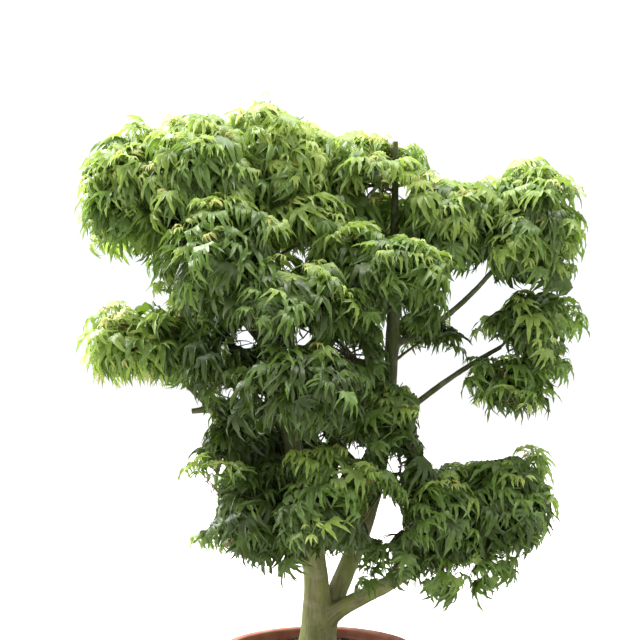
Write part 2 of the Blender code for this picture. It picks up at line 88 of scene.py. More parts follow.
SOIL = 0.342  # height of the compost's surface
SOIL_RADIUS = 0.1795
SOIL_GAP = 0.001  # between the compost and the pot
SOIL_DIP = 0.002  # how far it has sunk below that height
SOIL_EDGE = (0.0015, 0.014)  # where its side starts, in from its radius and down
HEAP = (0.004, 0.09)  # how high it is heaped round the trunk, and how far out
SOIL_LUMPS = ((35, 0, 0.0022), (110, 3, 0.0016))  # lumps to the metre, where they are read, height
CRUMBS = 900
CRUMB_SIZES = (0.0014, 0.0020, 0.0030, 0.0042)
CRUMB_SIZE_PLAY = (0.7, 1.3)
CRUMB_STRETCH = ((0.8, 2.4), (0.7, 1.2), (0.4, 0.9))
CRUMB_PLAY = 0.22
CRUMB_LIFT = 0.25
CRUMB_REACH = 0.172
CRUMB_AREA = (0.03, 1.0)  # which shares of the circle inside that they lie on, from its middle out
CRUMB_TURN = 6.28  # how far they are turned, round an axis that leans sideways and back
CRUMB_LEAN = (0.3, 0.2)

# Limbs, in mm: each row is (across, back, height above the compost, radius) on a smooth line
LINES = {
    "trunk": (
        (-2, 0, -12, 35), (-2, 0, 0, 34.5), (-2, 0, 20, 33.5), (-2, 0, 80, 30), (-7, -18, 200, 22.8),
        (-41, -30, 395, 18.8), (-95, -28, 632, 13), (-158, -36, 852, 8),
    ),
    "leader": (
        (10, 8, 42, 20), (34, 20, 120, 20), (100, 38, 285, 17.8), (138, 36, 470, 14.8),
        (152, 22, 690, 12.2), (155, 32, 900, 7.8), (156, 36, 1043, 5),
    ),
    "low_right_bough": (
        (12, -2, 74, 17), (54, -18, 112, 16.5), (158, -40, 171, 13.5), (262, -42, 236, 10.5),
        (306, -36, 270, 9),
    ),
}
LINE_STEPS = 6  # points made for each row
# Short spurs: the limb, the place along it, which way it points, length, radius
SPURS = {
    "pruned_stub": ("left_mid_bough", 0.70, (-0.97, -0.05, -0.10), 0.041, 0.0060),
    "leader_spur": ("leader", 0.972, (-0.65, -0.10, 0.75), 0.024, 0.0030),
}
SPUR_TAPER = 0.85

# Each pad of leaves, in mm: middle (across, back, height), reach (half width, half depth, half height), the
# limb that carries it, the place along that limb, how far its own bough bows upwards, and how much more or
# less light it stands in. A pad that lies close round its limb has no bough, and where the place is missing
# too, the limb's tip ends in it.
# The last number in each row is light or shade painted into that pad's leaf colours
PADS = {
    "left_top_outer": ((-377, -23, 923), (117, 160, 158), "trunk", 0.72, 10, 0.22),
    "left_top_inner": ((-221, -81, 961), (130, 173, 139), "trunk", None, None, 0.14),
    "crown_top": ((-82, 0, 1006), (137, 173, 150), "trunk", 0.66, -30, 0.58),
    "crown_right": ((109, 34, 956), (144, 173, 124), "leader", 0.9, None, 0.52),
    "right_top": ((264, 0, 874), (132, 173, 119), "leader", 0.7, 12, 0.28),
    "right_outer": ((424, -34, 859), (122, 160, 149), "leader", 0.6, -30, 0.16),
    "left_front_upper": ((-175, -196, 800), (146, 148, 119), "trunk", 0.78, 10, -0.08),
    "left_front_lower": ((-62, -230, 710), (161, 160, 114), "trunk", 0.62, 10, -0.06),
    "left_mid": ((-334, -23, 615), (158, 160, 113), "trunk", 0.46, -16, 0.98),
    "centre_front": ((-33, -276, 560), (146, 160, 118), "trunk", 0.47, 10, -0.3),
    "centre_right_front": ((137, -161, 769), (139, 148, 105), "leader", 0.62, 8, -0.04),
    "right_mid_inner": ((223, 46, 646), (97, 111, 60), "leader", 0.56, None, 0.15),
    "right_mid_upper": ((414, 0, 664), (128, 148, 87), "leader", 0.43, 10, 0.62),
    "right_mid_lower": ((384, -34, 537), (113, 135, 76), "right_mid_upper_bough", 0.84, None, 0.55),
    "centre_stem": ((157, -69, 467), (91, 138, 151), "leader", 0.42, None, 0.5),
    "left_low": ((-167, 23, 442), (125, 162, 125), "trunk", 0.34, 10, 0.0),
    "bottom_left": ((-132, -92, 301), (142, 160, 129), "trunk", 0.21, 10, 0.3),
    "bottom_centre": ((32, -161, 327), (143, 163, 129), "trunk", 0.24, 10, 0.52),
    "right_low_inner": ((216, -69, 285), (135, 148, 123), "low_right_bough", 0.56, None, 0.56),
    "right_low_outer": ((358, -23, 308), (149, 160, 127), "low_right_bough", None, None, 0.58),
    "crown_middle": ((8, -50, 852), (115, 130, 85), "crown_top_bough", 0.68, None, 0.3),
    "left_centre": ((-172, -110, 585), (125, 130, 110), "trunk", 0.6, None, 0.0),
    "centre_mid": ((52, -30, 612), (110, 120, 95), "leader", 0.55, None, 0.2),
    "back_crown": ((-39, 276, 956), (172, 160, 138), "leader", 0.8, 10, 0.0),
    "back_right_top": ((221, 287, 859), (158, 160, 123), "leader", 0.66, 10, 0.0),
    "back_left_top": ((-253, 253, 848), (162, 160, 137), "trunk", 0.7, 10, 0.0),
    "back_left_mid": ((-222, 276, 610), (165, 168, 129), "trunk", 0.5, 10, 0.0),
    "back_centre_mid": ((4, 299, 674), (166, 168, 146), "leader", 0.48, 10, 0.0),
    "back_centre_low": ((26, 253, 440), (167, 176, 134), "leader", 0.3, 10, 0.0),
    "back_bottom": ((-92, 230, 271), (156, 160, 122), "trunk", 0.18, 10, 0.0),
    "back_right_low": ((292, 230, 271), (150, 160, 112), "low_right_bough", 0.4, 10, 0.0),
}
PAD_GAP = 0.0008
BOUGH_SHARE = 0.72  # how thick a bough is, as a share of its limb's radius there
BOUGH_START = 0.0070  # and at most
BOUGH_TAPER = 0.62
BOUGH_STEPS = 8
ENTRY = 0.58  # where a bough ends, as a share of the way out to the pad's surface
TIP = 0.985
STEM_RADIUS = 0.0040
STEM_SHARE = 0.80
STEM_TAPER = 0.70

# Which pads go into each piece of leaves
REGIONS = {
    "leaves_top_left": ("left_top_outer", "left_top_inner", "crown_top", "left_front_upper"),
    "leaves_top_right": ("crown_right", "right_top", "right_outer", "centre_right_front"),
    "leaves_middle_left": ("left_front_lower", "left_mid", "centre_front", "left_centre"),
    "leaves_middle_right": (
        "right_mid_inner", "right_mid_upper", "right_mid_lower", "centre_stem", "crown_middle", "centre_mid",
    ),
    "leaves_low": ("left_low", "bottom_left", "bottom_centre", "right_low_inner", "right_low_outer"),
    "leaves_back_top": ("back_crown", "back_right_top", "back_left_top"),
    "leaves_back_low": (
        "back_left_mid", "back_centre_mid", "back_centre_low", "back_bottom", "back_right_low",
    ),
}

# The crown's outline, in which each pad's own runs into its neighbours'
BLEND = 0.024  # how softly
INSET = 0.006  # how far inside the pads' outline the leaves' own outline is
OVERLAP = 0.035  # how far a leaf may hang over the fence to the next pad
SKIRT = 0.028  # how far leaves may hang below the outline
SEARCH = (0.3, 1.6, 0.02)  # where a pad's surface is looked for, as shares of its radius
LIMB_CLEARANCE = 0.003
SOIL_CLEARANCE = 0.01
# Where the crown is open from front to back, as ellipses seen from in front, in mm: across, height above
# the compost, half width and half height at the trunk. A last number shows what stands behind that depth.
OPENINGS = (
    # round the bare bough on the right
    (228, 578, 68, 26), (286, 690, 18, 26), (244, 484, 36, 90), (290, 436, 52, 36), (352, 440, 48, 34),
    (318, 720, 54, 26), (340, 622, 36, 10),
    # under the left of the crown
    (-276, 470, 48, 58), (-336, 520, 90, 26), (-250, 303, 42, 42), (-226, 176, 60, 30),
    # between the two stems, and between the leader and the low bough's foliage
    (42, 180, 16, 26), (132, 280, 36, 36),
    # small ones in the middle
    (-144, 644, 13, 16), (-30, 650, 13, 16), (38, 634, 12, 7), (74, 611, 18, 8), (150, 390, 8, 10),
    (84, 420, 8, 8),
    # dips in the top
    (-12, 1142, 76, 56), (-246, 1144, 60, 48), (-166, 1156, 56, 44), (288, 1024, 68, 60),
    # the leader's bare lengths
    (150, 652, 12, 42, 10), (152, 1040, 20, 34, 20), (150, 905, 18, 46, 10),
    # glints of light through the pads
    (-114, 526, 7, 8), (-82, 474, 6, 7), (-178, 540, 6, 9), (-196, 386, 10, 6), (36, 380, 6, 6),
    (68, 414, 7, 6), (8, 450, 6, 6), (-104, 296, 6, 6),
    # small ones under the top, and a bough that shows on the left
    (102, 946, 9, 8), (166, 934, 10, 8), (-46, 812, 14, 34, -20),
)
EYE_DISTANCE = 3.0  # where the openings are seen from, in front of the trunk
EYE_HEIGHT = 0.794  # and above the compost

# A pad's twigs
TWIG_BOW = 0.006  # how far a stem or a branchlet bows upwards
FORKS = 12  # how many branchlets leave a pad's stem
FORK_ROOTS = (0.75, 1.0)  # from where to where along it
FORK_PLACE = 0.42  # where they end, as a share of the way out to the pad's surface
BRANCHLET_RADII = (0.0030, 0.0019)
SHOOT_RADII = (0.0017, 0.0009)
# A pad's sprays. One stands proud when its tip is further out than the others' middle surface.
LOWEST = -0.78  # the lowest direction that a spray grows in
SPIRAL_START = 0.35  # how far down its first step the spiral starts
SPIRAL_RISE = (-0.05, 0.05)  # how far it strays from its place in the spiral, up and round
SPIRAL_TURN = (-0.28, 0.28)
AREA_POWER = 1.6  # in the usual short formula for the surface of an ellipsoid
SET_BACK = (0.055, 0.035)  # from the surface to a spray's tip, on the sides and on top
TOP_FROM = 0.5
LEAST_REACH = 0.05
HIDDEN_DEPTH = 0.040  # this far inside the crown's outline a spray can't be seen
PROUD = (-0.055, 0.012)  # how far in and out a tip may lie
PROUD_PLAY = (-0.014, 0.021)  # the middle and the spread of that
STRAY_FROM = 0.35
STRAY_SHARE = 0.12  # how many of the shoots above that stand well out
STRAY_PROUD = (0.010, 0.022)
SIDE_PROUD = 0.070
# What adds to a spray's light, which is painted into its leaves' colours as painted light and shade
LIGHT_UPWARDS = 0.32
LIGHT_OPEN = 0.52
LIGHT_PROUD = 6.0
LIGHT_PLAY = 0.13
LIGHT_HIGHER = 0.50
LIGHT_LEVEL = 0.72  # the height above the compost where that is nothing
LIGHT_BACK = 0.10
LIGHT_LEFT = 0.20
HIDDEN_SHADE = 0.35
# A pad casts painted shade on what lies this much lower, at least and in full, and within this share of its
# reach
COVER_FROM = 0.02
COVER_FULL = 0.12
COVER_WIDTH = 1.15
# A shoot, and how its tip points: along the shoot, out of its pad and upwards
SHOOT_AXIS = (0.4, 0.35, 0.75)
SHOOT_BOW = 0.010
SHOOT_TIP = (0.006, 0.010)  # a shoot whose tip is in an opening from this far out to this far in isn't grown
YOUNG_LIGHT = 0.4  # in more light than this it is young wood
TURN_PLAY = 0.2
# The rosette of leaves round its tip. Pairs are for the lowest leaf, and how much that changes to the last.
ROSETTE = 8
HIDDEN_ROSETTE = 5
ROSETTE_HANG = (0.55, -0.95)
ROSETTE_TAPER = (1.12, -0.42)
# Painted shade on a rosette's lowest leaf, and how much more light is painted on its last
ROSETTE_LIGHT = (-0.14, 0.36)
ROSETTE_TOP = 0.004  # how far past the shoot's end the last leaf stands
ROSETTE_DEPTH = 0.016
HANG_PLAY = (0.7, 1.3)
STRAY_RISE = 0.35
# Other leaves, and where they stand along it. The shares over OUTER_PAIRS lie on its last third.
PAIRS = (0.95, 0.72, 0.50, 0.30)
HIDDEN_PAIRS = (0.7, 0.35)
OUTER_PAIRS = 0.6
OUTER_START, OUTER_RATE = 0.5, 1.6  # which share starts that third, and how fast it is gone along
PAIR_RISE = (-0.4, 0.1)
# Painted shade on the leaves along a shoot, below its rosette
PAIR_SHADE = 0.48
# In this light it is still unfolding small leaves: how much lighter each of them is painted, as paler young
# leaves and painted light, and how it stands
OPEN_LIGHT = 0.42
BUD_LIGHTS = (1.5, 0.80, 0.80)
BUD_TURN = 2.1
BUD_RISE = 0.4
BUD_PLACE = 0.008
BUD_OVERHANG = 0.02
# How leaves stand on a shoot: how far they grow and face out of the pad, and how far each rolls
LEAF_OUT = (0.15, 0.45)
FACE_OUT = (0.0, 0.42)
ROLL = 0.32
# What a leaf's length is drawn from, as shares of the usual one
VIGOUR = (0.88, 1.10)
STRAY_VIGOUR = 0.82
ROSETTE_SIZE = (0.92, 1.08)
PAIR_SIZE = (0.95, 1.20)
BUD_SIZE = (0.28, 0.48)
# Shoots that stand out of their pads: where each ends, in mm, and how much light is painted into its leaves'
# colours
SIDE_SHOOTS = {
    "bottom_left": (
        (-236, -70, 392, 0.62), (-222, -80, 372, 0.4), (-224, -90, 262, 0.78), (-190, -110, 236, 0.5),
    ),
    "left_front_upper": ((-288, -120, 742, 0.9), (-276, -110, 706, 0.6)),
    "left_mid": ((-250, -60, 700, 0.95),),
    "crown_top": ((-94, -30, 1118, 0.8),),
    "left_top_outer": ((-338, -20, 1050, 0.8),),
    "centre_right_front": (
        (206, -120, 732, 0.3), (176, -80, 704, 0.1), (150, -100, 738, 0.2), (168, -90, 718, 0.1),
        (130, -90, 716, 0.05),
    ),
    "right_low_inner": (
        (120, -100, 262, 0.2), (160, -110, 226, 0.05), (228, -120, 206, 0.3), (262, -130, 204, 0.4),
        (246, -95, 182, 0.15), (100, -80, 188, 0.15), (262, 0, 386, 0.85), (178, -90, 380, 0.3),
        (160, -40, 372, 0.0),
    ),
    "bottom_centre": ((30, -140, 236, 0.2), (-50, -160, 250, 0.2)),
    "right_low_outer": (
        (298, -125, 202, 0.36), (330, -115, 206, 0.26), (288, -95, 180, 0.15), (354, -100, 226, 0.2),
        (392, -60, 268, 0.05), (304, 20, 388, 0.98), (352, 0, 392, 0.8), (418, -10, 408, 0.95),
        (430, 20, 386, 0.8),
    ),
    "centre_stem": ((150, -90, 383, 0.15), (128, -60, 376, 0.0), (176, -80, 552, 0.4)),
    "centre_mid": ((30, -100, 692, 0.15), (66, -100, 688, 0.2), (100, -95, 680, 0.1), (50, -50, 696, 0.05)),
    "crown_middle": (
        (-52, 30, 872, 1.0), (-24, 40, 858, 0.9), (-72, 45, 850, 0.8), (-14, 60, 880, 1.1),
        (-60, 65, 838, 1.1),
    ),
    "right_mid_upper": ((476, -30, 604, 0.45), (462, 50, 598, 0.3), (500, -10, 700, 0.6)),
    "right_mid_lower": ((452, -70, 588, 0.35), (318, -60, 590, 0.35)),
}
# Painted light and shade: the light at which each leaf colour gives way to the next, and each leaf's own
# play
TONE_STEPS = (-0.10, 0.26, 0.66, 1.26, 2.00)
TONE_PLAY = 0.12

# Leaves: angle from the middle lobe and length, and how a lobe narrows, in rows of the place along its
# midrib, the edge's place and the half width
LOBES = ((0.0, 1.0), (33.0, 0.95), (67.0, 0.80), (106.0, 0.52))
NOTCH = 0.33
HEEL = 0.10
HEEL_TURN, HEEL_MOST = 0.5, 0.9 * math.pi  # how far past the last lobe the blade's edge ends, and at most
TOOTHED_ROWS = ((0.42, 0.48, 0.112), (0.57, 0.53, 0.064), (0.72, 0.70, 0.070))
PLAIN_ROWS = ((0.46, 0.50, 0.106), (0.72, 0.70, 0.058))
SHORT_ROWS = ((0.55, 0.60, 0.100),)
SHORT_LOBE = 0.6  # lobes up to this length have the short rows
BASE_ROW = 0.22
NOTCH_RISE = 0.12
CRUMPLE = (0.010, 0.010, 0.014)  # how far an edge strays from its lobe's arc
STALK_RADII = (0.020, 0.013)
# What a leaf's shape is drawn from, in radians and shares of its length, but for the degrees of FOLD,
# PITCH and RISE
LOBE_TURN = (-0.07, 0.07)
LOBE_LENGTH = (0.88, 1.06)
HANG = (1.00, 1.75)
CURL = (0.75, 1.20)
SWEEP = (-0.55, 0.55)
FOLD = (28, 46)
PITCH = (4, 28)
RISE = (5, 20)
STALK = (0.40, 0.60)
VARIANTS = 8
# Places on a leaf that have to stay inside the crown: along, across and above it
PROBES = ((1.30, 0, -0.55), (1.0, 0.6, -0.45), (1.0, -0.6, -0.45), (0.9, 0, 0.0), (0.5, 0, 0.1))


def linear(code):
    """An sRGB hex colour as linear red, green and blue."""
    channels = (int(code[i : i + 2], 16) / 255 for i in (1, 3, 5))
    return tuple(c / 12.92 if c <= 0.04045 else ((c + 0.055) / 1.055) ** 2.4 for c in channels)


def metres(row):
    """A row of millimetres as metres."""
    return [value / 1000 for value in row]


# ---- Materials ----


def add_node(tree, kind, inputs=None, **settings):
    """Adds a shader node with its settings, and sets or links each of its inputs."""
    made = tree.nodes.new("ShaderNode" + kind)
    for name, value in settings.items():
        setattr(made, name, value)
    for name, value in (inputs or {}).items():
        if isinstance(value, bpy.types.NodeSocket):
            tree.links.new(value, made.inputs[name])
        else:
            made.inputs[name].default_value = value
    return made


def new_material(name):
    """An empty material, its node tree and the place on the object."""
    material = bpy.data.materials.new(name)
    material.use_nodes = True
    tree = material.node_tree
    tree.nodes.clear()
    return material, tree, add_node(tree, "TexCoord").outputs["Object"]


def patterns(tree, *rows):
    """The value of each pattern. A row is (texture, where it is read, its stretch, scale and detail)."""
    for kind, place, stretch, scale, detail in rows:
        if stretch:
            place = add_node(tree, "Mapping", {"Vector": place, "Scale": stretch}).outputs[0]
        yield add_node(tree, kind, {"Vector": place, "Scale": scale, "Detail": detail}).outputs[0]


def coated(tree, ground, *coats):
    """A ground colour under coats of others. A coat is (pattern, low, high, least, most, colour), and is
    laid on from least to most while its pattern goes from low to high."""
    ground = (*ground, 1.0)
    for pattern, low, high, least, most, colour in coats:
        inputs = {0: pattern, 1: low, 2: high, 3: least, 4: most}
        share = add_node(tree, "MapRange", inputs).outputs[0]
        inputs = {0: share, 6: ground, 7: (*colour, 1.0)}
        ground = add_node(tree, "Mix", inputs, data_type="RGBA").outputs[2]
    return ground


def surface(tree, colour, roughness, *reliefs, **inputs):
    """A shader of this colour with reliefs of (strength, depth, pattern), one over another."""
    inputs.update({"Base Color": colour, "Roughness": roughness})
    for strength, depth, pattern in reliefs:
        relief = {"Strength": strength, "Distance": depth, "Height": pattern}
        if "Normal" in inputs:
            relief["Normal"] = inputs["Normal"]
        inputs["Normal"] = add_node(tree, "Bump", relief).outputs[0]
    return add_node(tree, "BsdfPrincipled", inputs).outputs[0]


def finished(material, shader):
    """The material, once it shows this shader."""
    add_node(material.node_tree, "OutputMaterial", {"Surface": shader})
    return material


def leaf_material(name, tone, through, share_through, roughness):
    """Living maple leaf: a waxy blade with a soft bluish gloss, mottled over a centimetre or so and
    puckered between its side veins, which lets some yellow-green light through."""
    material, tree, place = new_material(name)
    mottle, veins = patterns(
        tree, ("TexNoise", place, None, 70.0, 2.0), ("TexNoise", place, None, 420.0, 1.0)
    )
    lit, added = LEAF_LIT
    light = [min(1.0, c * lit + max(tone) * added) for c in tone]
    dark = [c * share for c, share in zip(tone, LEAF_SHADED)]
    colour = coated(tree, dark, (mottle, 0.30, 0.70, 0.0, 1.0, light))
    waxy = {"IOR": 1.50, "Specular IOR Level": 0.42}
    blade = surface(tree, colour, roughness, (0.35, 0.0008, veins), **waxy)
    glow = add_node(tree, "BsdfTranslucent", {"Color": (*through, 1.0)}).outputs[0]
    both = add_node(tree, "MixShader", {0: share_through, 1: blade, 2: glow})
    return finished(material, both.outputs[0])


def bark_material(name, settings):
    """Maple bark: smooth and olive, with fine pale streaks along the limb, a film of green algae and
    grey-green bloom in patches, and small dark pores, so that it looks dull and slightly waxy. Higher
    up it is greener, as younger wood is, and darker, which is painted shade under the crown."""
    material, tree, place = new_material(name)
    along = add_node(tree, "Attribute", attribute_name="along_limb").outputs["Vector"]
    height = add_node(tree, "SeparateXYZ", {0: place}).outputs["Z"]
    streak, bloom, film, pore = patterns(
        tree,
        ("TexNoise", along, (1.0, 1.0, 0.10), 260.0, 4.0),
        ("TexNoise", place, None, 42.0, 5.0),
        ("TexNoise", place, (1.0, 1.0, 0.30), 34.0, 3.0),
        ("TexVoronoi", along, (0.35, 0.35, 1.6), 150.0, 0.0),
    )
    colour = coated(
        tree,
        settings.dark,
        (streak, 0.28, 0.62, 0.0, 1.0, settings.base),
        (film, 0.42, 0.62, 0.0, 0.75, settings.algae),
        # greener and darker higher up: the younger wood's colour, and painted shade under the crown
        (height, SOIL + 0.22, SOIL + 0.55, 0.0, 0.85, settings.green),
        (bloom, 0.52, 0.76, 0.0, 0.45, settings.pale),
        (pore, 0.10, 0.20, 0.55, 0.0, settings.dark),
    )
    return finished(material, surface(tree, colour, 0.72, (0.5, 0.0010, streak), IOR=1.45))


def twig_material(name, young, old):
    """Last year's and this year's wood: thin smooth bark, red-brown to olive, a little glossy."""
    material, tree, place = new_material(name)
    patch, grain = patterns(
        tree, ("TexNoise", place, None, 45.0, 2.0), ("TexNoise", place, None, 600.0, 1.0)
    )
    colour = coated(tree, old, (patch, 0.38, 0.62, 0.0, 1.0, young))
    return finished(material, surface(tree, colour, 0.55, (0.3, 0.0005, grain), IOR=1.45))


def terracotta_material(name, settings):
    """Unglazed terracotta: fired red clay thrown on a wheel, chalky where lime has dried out of it and
    darker where it stays damp, with a sandy grain of about 1 mm, drawn at 1.5 mm so that it shows."""
    material, tree, place = new_material(name)
    height = add_node(tree, "SeparateXYZ", {0: place}).outputs["Z"]
    cloud, salt, rings, grain = patterns(
        tree,
        ("TexNoise", place, None, 9.0, 5.0),
        ("TexNoise", place, None, 26.0, 6.0),
        ("TexNoise", place, (1.0, 1.0, 9.0), 22.0, 2.0),
        ("TexNoise", place, None, 650.0, 2.0),
    )
    colour = coated(
        tree,
        settings.damp,
        (cloud, 0.35, 0.68, 0.0, 1.0, settings.fired),
        (height, 0.01, 0.11, 0.65, 0.0, settings.damp),
        (salt, 0.46, 0.82, 0.0, 0.45, settings.bloom),
        (rings, 0.40, 0.75, 0.0, 0.22, settings.bloom),
    )
    reliefs = ((0.5, 0.0012, rings), (0.35, 0.0006, grain))
    return finished(material, surface(tree, colour, 0.88, *reliefs, IOR=1.5))


def compost_material(name, settings):
    """Moist potting compost: near-black crumbs with paler fibres, quite matt."""
    material, tree, place = new_material(name)
    crumb, strand = patterns(
        tree, ("TexNoise", place, None, 210.0, 5.0), ("TexVoronoi", place, None, 120.0, 0.0)
    )
    colour = coated(tree, settings.compost, (crumb, 0.45, 0.75, 0.0, 1.0, settings.fibre))
    return finished(material, surface(tree, colour, 0.95, (0.8, 0.003, strand), IOR=1.4))


def floor_material(name, settings):
    """Matt floor paint, painted paler further out as painted light, so that it fades into the surround and
    no edge shows.
    """
    material, tree, place = new_material(name)
    away = add_node(tree, "VectorMath", {0: place}, operation="LENGTH").outputs["Value"]
    # Paler from 1 m to 6 m out: painted light
    colour = coated(tree, settings.floor, (away, 1.0, 6.0, 0.0, 1.0, settings.far_floor))
    return finished(material, surface(tree, colour, 0.9))


# ---- Meshes ----


def add_object(name, data):
    """A new object in the scene."""
    made = bpy.data.objects.new(name, data)
    bpy.context.scene.collection.objects.link(made)
    return made


def add_piece(name, mesh, materials, nodes=()):
    """Adds a finished mesh to the plant, in place of these nodes."""
    for material in materials:
        mesh.materials.append(material)
    piece = add_object(name, mesh)
    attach(piece, "root")
    if nodes:
        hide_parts(*nodes)


def mesh_from_bmesh(name, shape):
    bmesh.ops.recalc_face_normals(shape, faces=shape.faces)
    mesh = bpy.data.meshes.new(name)
    shape.to_mesh(mesh)
    shape.free()
    return mesh


def applied(source, kind=None, **settings):
    """The mesh of some data after a modifier, if one is named."""
    helper = add_object("helper", source)
    if kind:
        step = helper.modifiers.new(kind, kind)
        for name, value in settings.items():
            setattr(step, name, value)
    bpy.context.view_layer.update()
    graph = bpy.context.evaluated_depsgraph_get()
    mesh = bpy.data.meshes.new_from_object(helper.evaluated_get(graph))
    bpy.data.objects.remove(helper)
    return mesh


def mesh_from_arrays(name, places, faces, tones=None):
    """A mesh of many small joined things: their points, their triangles and each triangle's material."""
    mesh = bpy.data.meshes.new(name)
    mesh.vertices.add(len(places))
    mesh.vertices.foreach_set("co", np.ascontiguousarray(places, np.float32).ravel())
    mesh.loops.add(faces.size)
    mesh.loops.foreach_set("vertex_index", np.ascontiguousarray(faces, np.int32).ravel())
    mesh.polygons.add(len(faces))
    mesh.polygons.foreach_set("loop_start", np.arange(0, faces.size, 3, dtype=np.int32))
    if tones is not None:
        mesh.polygons.foreach_set("material_index", np.ascontiguousarray(tones, np.int32))
    mesh.update(calc_edges=True)
    return mesh


def arrays_of(shape):
    """A bmesh's points and triangles as arrays. The bmesh goes."""
    shape.verts.index_update()
    places = np.array([vert.co for vert in shape.verts])
    faces = np.array([[vert.index for vert in face.verts] for face in shape.faces])
    shape.free()
    return places, faces


def joined(parts):
    """Points and faces of several (points, faces) as one."""
    offsets = np.cumsum([0] + [len(places) for places, _ in parts[:-1]])
    places = np.concatenate([places for places, _ in parts])
    faces = np.concatenate([faces + offset for (_, faces), offset in zip(parts, offsets)])
    return places, faces


# ---- The source's rule: limbs and pads ----


class Limb:
    """A tapering limb as a smooth line of points, with a radius at each."""

    def __init__(self, points, radii):
        self.points = np.array(points, float)
        self.radii = np.array(radii, float)
        spans = np.linalg.norm(np.diff(self.points, axis=0), axis=1)
        self.lengths = np.concatenate([[0.0], np.cumsum(spans)])

    def at(self, share):
        """The point and radius at this share of the limb's length."""
        along = share * self.lengths[-1]
        point = Vector(np.interp(along, self.lengths, self.points[:, i]) for i in range(3))
        return point, float(np.interp(along, self.lengths, self.radii))

    def measure(self, places):
        """How far outside the limb each place is, how far along, and the unit way out of it."""
        gaps = np.full(len(places), np.inf)
        along = np.zeros(len(places))
        ways = np.zeros((len(places), 3))
        for i, start in enumerate(self.lengths[:-1]):
            a, span = self.points[i], self.points[i + 1] - self.points[i]
            share = np.clip((places - a) @ span / (span @ span), 0, 1)
            off = places - a - share[:, None] * span
            far = np.linalg.norm(off, axis=1) + 1e-9
            gap = far - self.radii[i] - share * (self.radii[i + 1] - self.radii[i])
            near = gap < gaps
            gaps[near] = gap[near]
            along[near] = start + share[near] * math.sqrt(span @ span)
            ways[near] = off[near] / far[near, None]
        return gaps, along, ways


@dataclass
class Pad:
    """A mass of foliage: an ellipsoid of space, less what lies over the fences to its neighbours."""

    name: str
    middle: Vector
    reach: Vector
    light: float
    fences: list = None

    def stretched(self, direction):
        return Vector(r * d for r, d in zip(self.reach, direction))

    def squeezed(self, direction):
        return Vector(d / r for r, d in zip(self.reach, direction))

    def radius(self, direction):
        return 1.0 / self.squeezed(direction).length

    def room(self, direction):
        """The distance from the middle to the nearest fence in a direction."""
        facing = [(limit, normal.dot(direction)) for normal, limit in self.fences]
        return min((limit / rate for limit, rate in facing if rate > 1e-6), default=math.inf)

    def area(self):
        a, b, c = self.reach
        power = AREA_POWER
        mean = ((a * b) ** power + (a * c) ** power + (b * c) ** power) / 3
        return 4 * math.pi * mean ** (1 / power)


def smooth_line(rows):
    """A Catmull-Rom line through rows of (x, y, height, radius) in mm, lifted on to the compost."""
    rows = [Vector(metres(row)) for row in rows]
    ends = [rows[0] * 2 - rows[1], *rows, rows[-1] * 2 - rows[-2]]
    line = []
    for before, a, b, after in zip(ends, ends[1:], ends[2:], ends[3:]):
        for step in range(LINE_STEPS):
            t = step / LINE_STEPS
            slope = (b - before) * t
            curve = (2 * before - 5 * a + 4 * b - after) * t**2
            twist = (3 * a - before - 3 * b + after) * t**3
            line.append(a + (slope + curve + twist) / 2)
    line.append(rows[-1])
    return Limb([row.xyz + UP * SOIL for row in line], [row.w for row in line])


def path(start, bend, end, steps):
    """Points on a curve from start to end that sets out towards bend."""
    points = []
    for i in range(steps + 1):
        t = i / steps
        points.append(start * (1 - t) ** 2 + bend * 2 * t * (1 - t) + end * t**2)
    return points


def bowed_bough(start, end, bow, thick):
    """A bough from start to end that bows upwards by that much at its middle."""
    thin = thick * BOUGH_TAPER
    radii = [thick + (thin - thick) * (i / BOUGH_STEPS) for i in range(BOUGH_STEPS + 1)]
    return Limb(path(start, (start + end) / 2 + UP * 2 * bow, end, BOUGH_STEPS), radii)


def make_pads():
    pads = {}
    for name, (middle, reach, *_, light) in PADS.items():
        pads[name] = Pad(name, Vector(metres(middle)) + UP * SOIL, Vector(metres(reach)), light, [])
    for pad in pads.values():
        for other in pads.values():
            if other is not pad:
                between = other.middle - pad.middle
                normal = between.normalized()
                mine, theirs = pad.stretched(normal).length, other.stretched(normal).length
                pad.fences.append((normal, between.length * mine / (mine + theirs) - PAD_GAP))
    return pads


def make_limbs(pads):
    limbs = {name: smooth_line(rows) for name, rows in LINES.items()}
    for name, (_, _, parent, place, bow, _) in PADS.items():
        if bow is None:
            continue
        pad = pads[name]
        start, radius = limbs[parent].at(place)
        back = (start - pad.middle).normalized()
        end = pad.middle + back * ENTRY * min(pad.radius(back), pad.room(back))
        thick = min(radius * BOUGH_SHARE, BOUGH_START)
        limbs[name + "_bough"] = bowed_bough(start, end, bow / 1000, thick)
    for name, (carrier, place, way, length, radius) in SPURS.items():
        start, _ = limbs[carrier].at(place)
        ends = [start, start + Vector(way).normalized() * length]
        limbs[name] = Limb(ends, [radius, radius * SPUR_TAPER])
    return limbs


def carrier_of(name, limbs):
    """The limb that a pad's stem leaves, and the place along it."""
    _, _, parent, place, bow, _ = PADS[name]
    if bow is not None:
        return limbs[name + "_bough"], TIP
    return limbs[parent], place or TIP


# ---- Bark ----

VOXEL = 0.0026
FILLET = 0.0050
RELIEF = 0.00055
# Streaks and lumps: how many to the metre across and along a limb, where they are read, how strong
BARK_BUMPS = ((190, 22, 0, 0.55), (40, 30, 9, 0.90))
RING_PITCH = 105  # radians to the metre
RING_WANDER = 2.5
RING_DRIFT = 9  # how often that changes to the metre
RING_EDGE = 0.86
RING_STRENGTH = 4.0
GRAIN_SHIFT = 0.37  # so that no two limbs have the same grain
SHOULDER = 0.16  # the height above the compost below which the foot flares
FLARE = ((0.56, 0.020), (0.05, 0.070))  # how wide, and over what height
ROOTS = ((0.34, 4, 0.6), (0.22, 7, 2.0))  # how strong, how many and turned how far
ROOT_DEPTH = 0.012


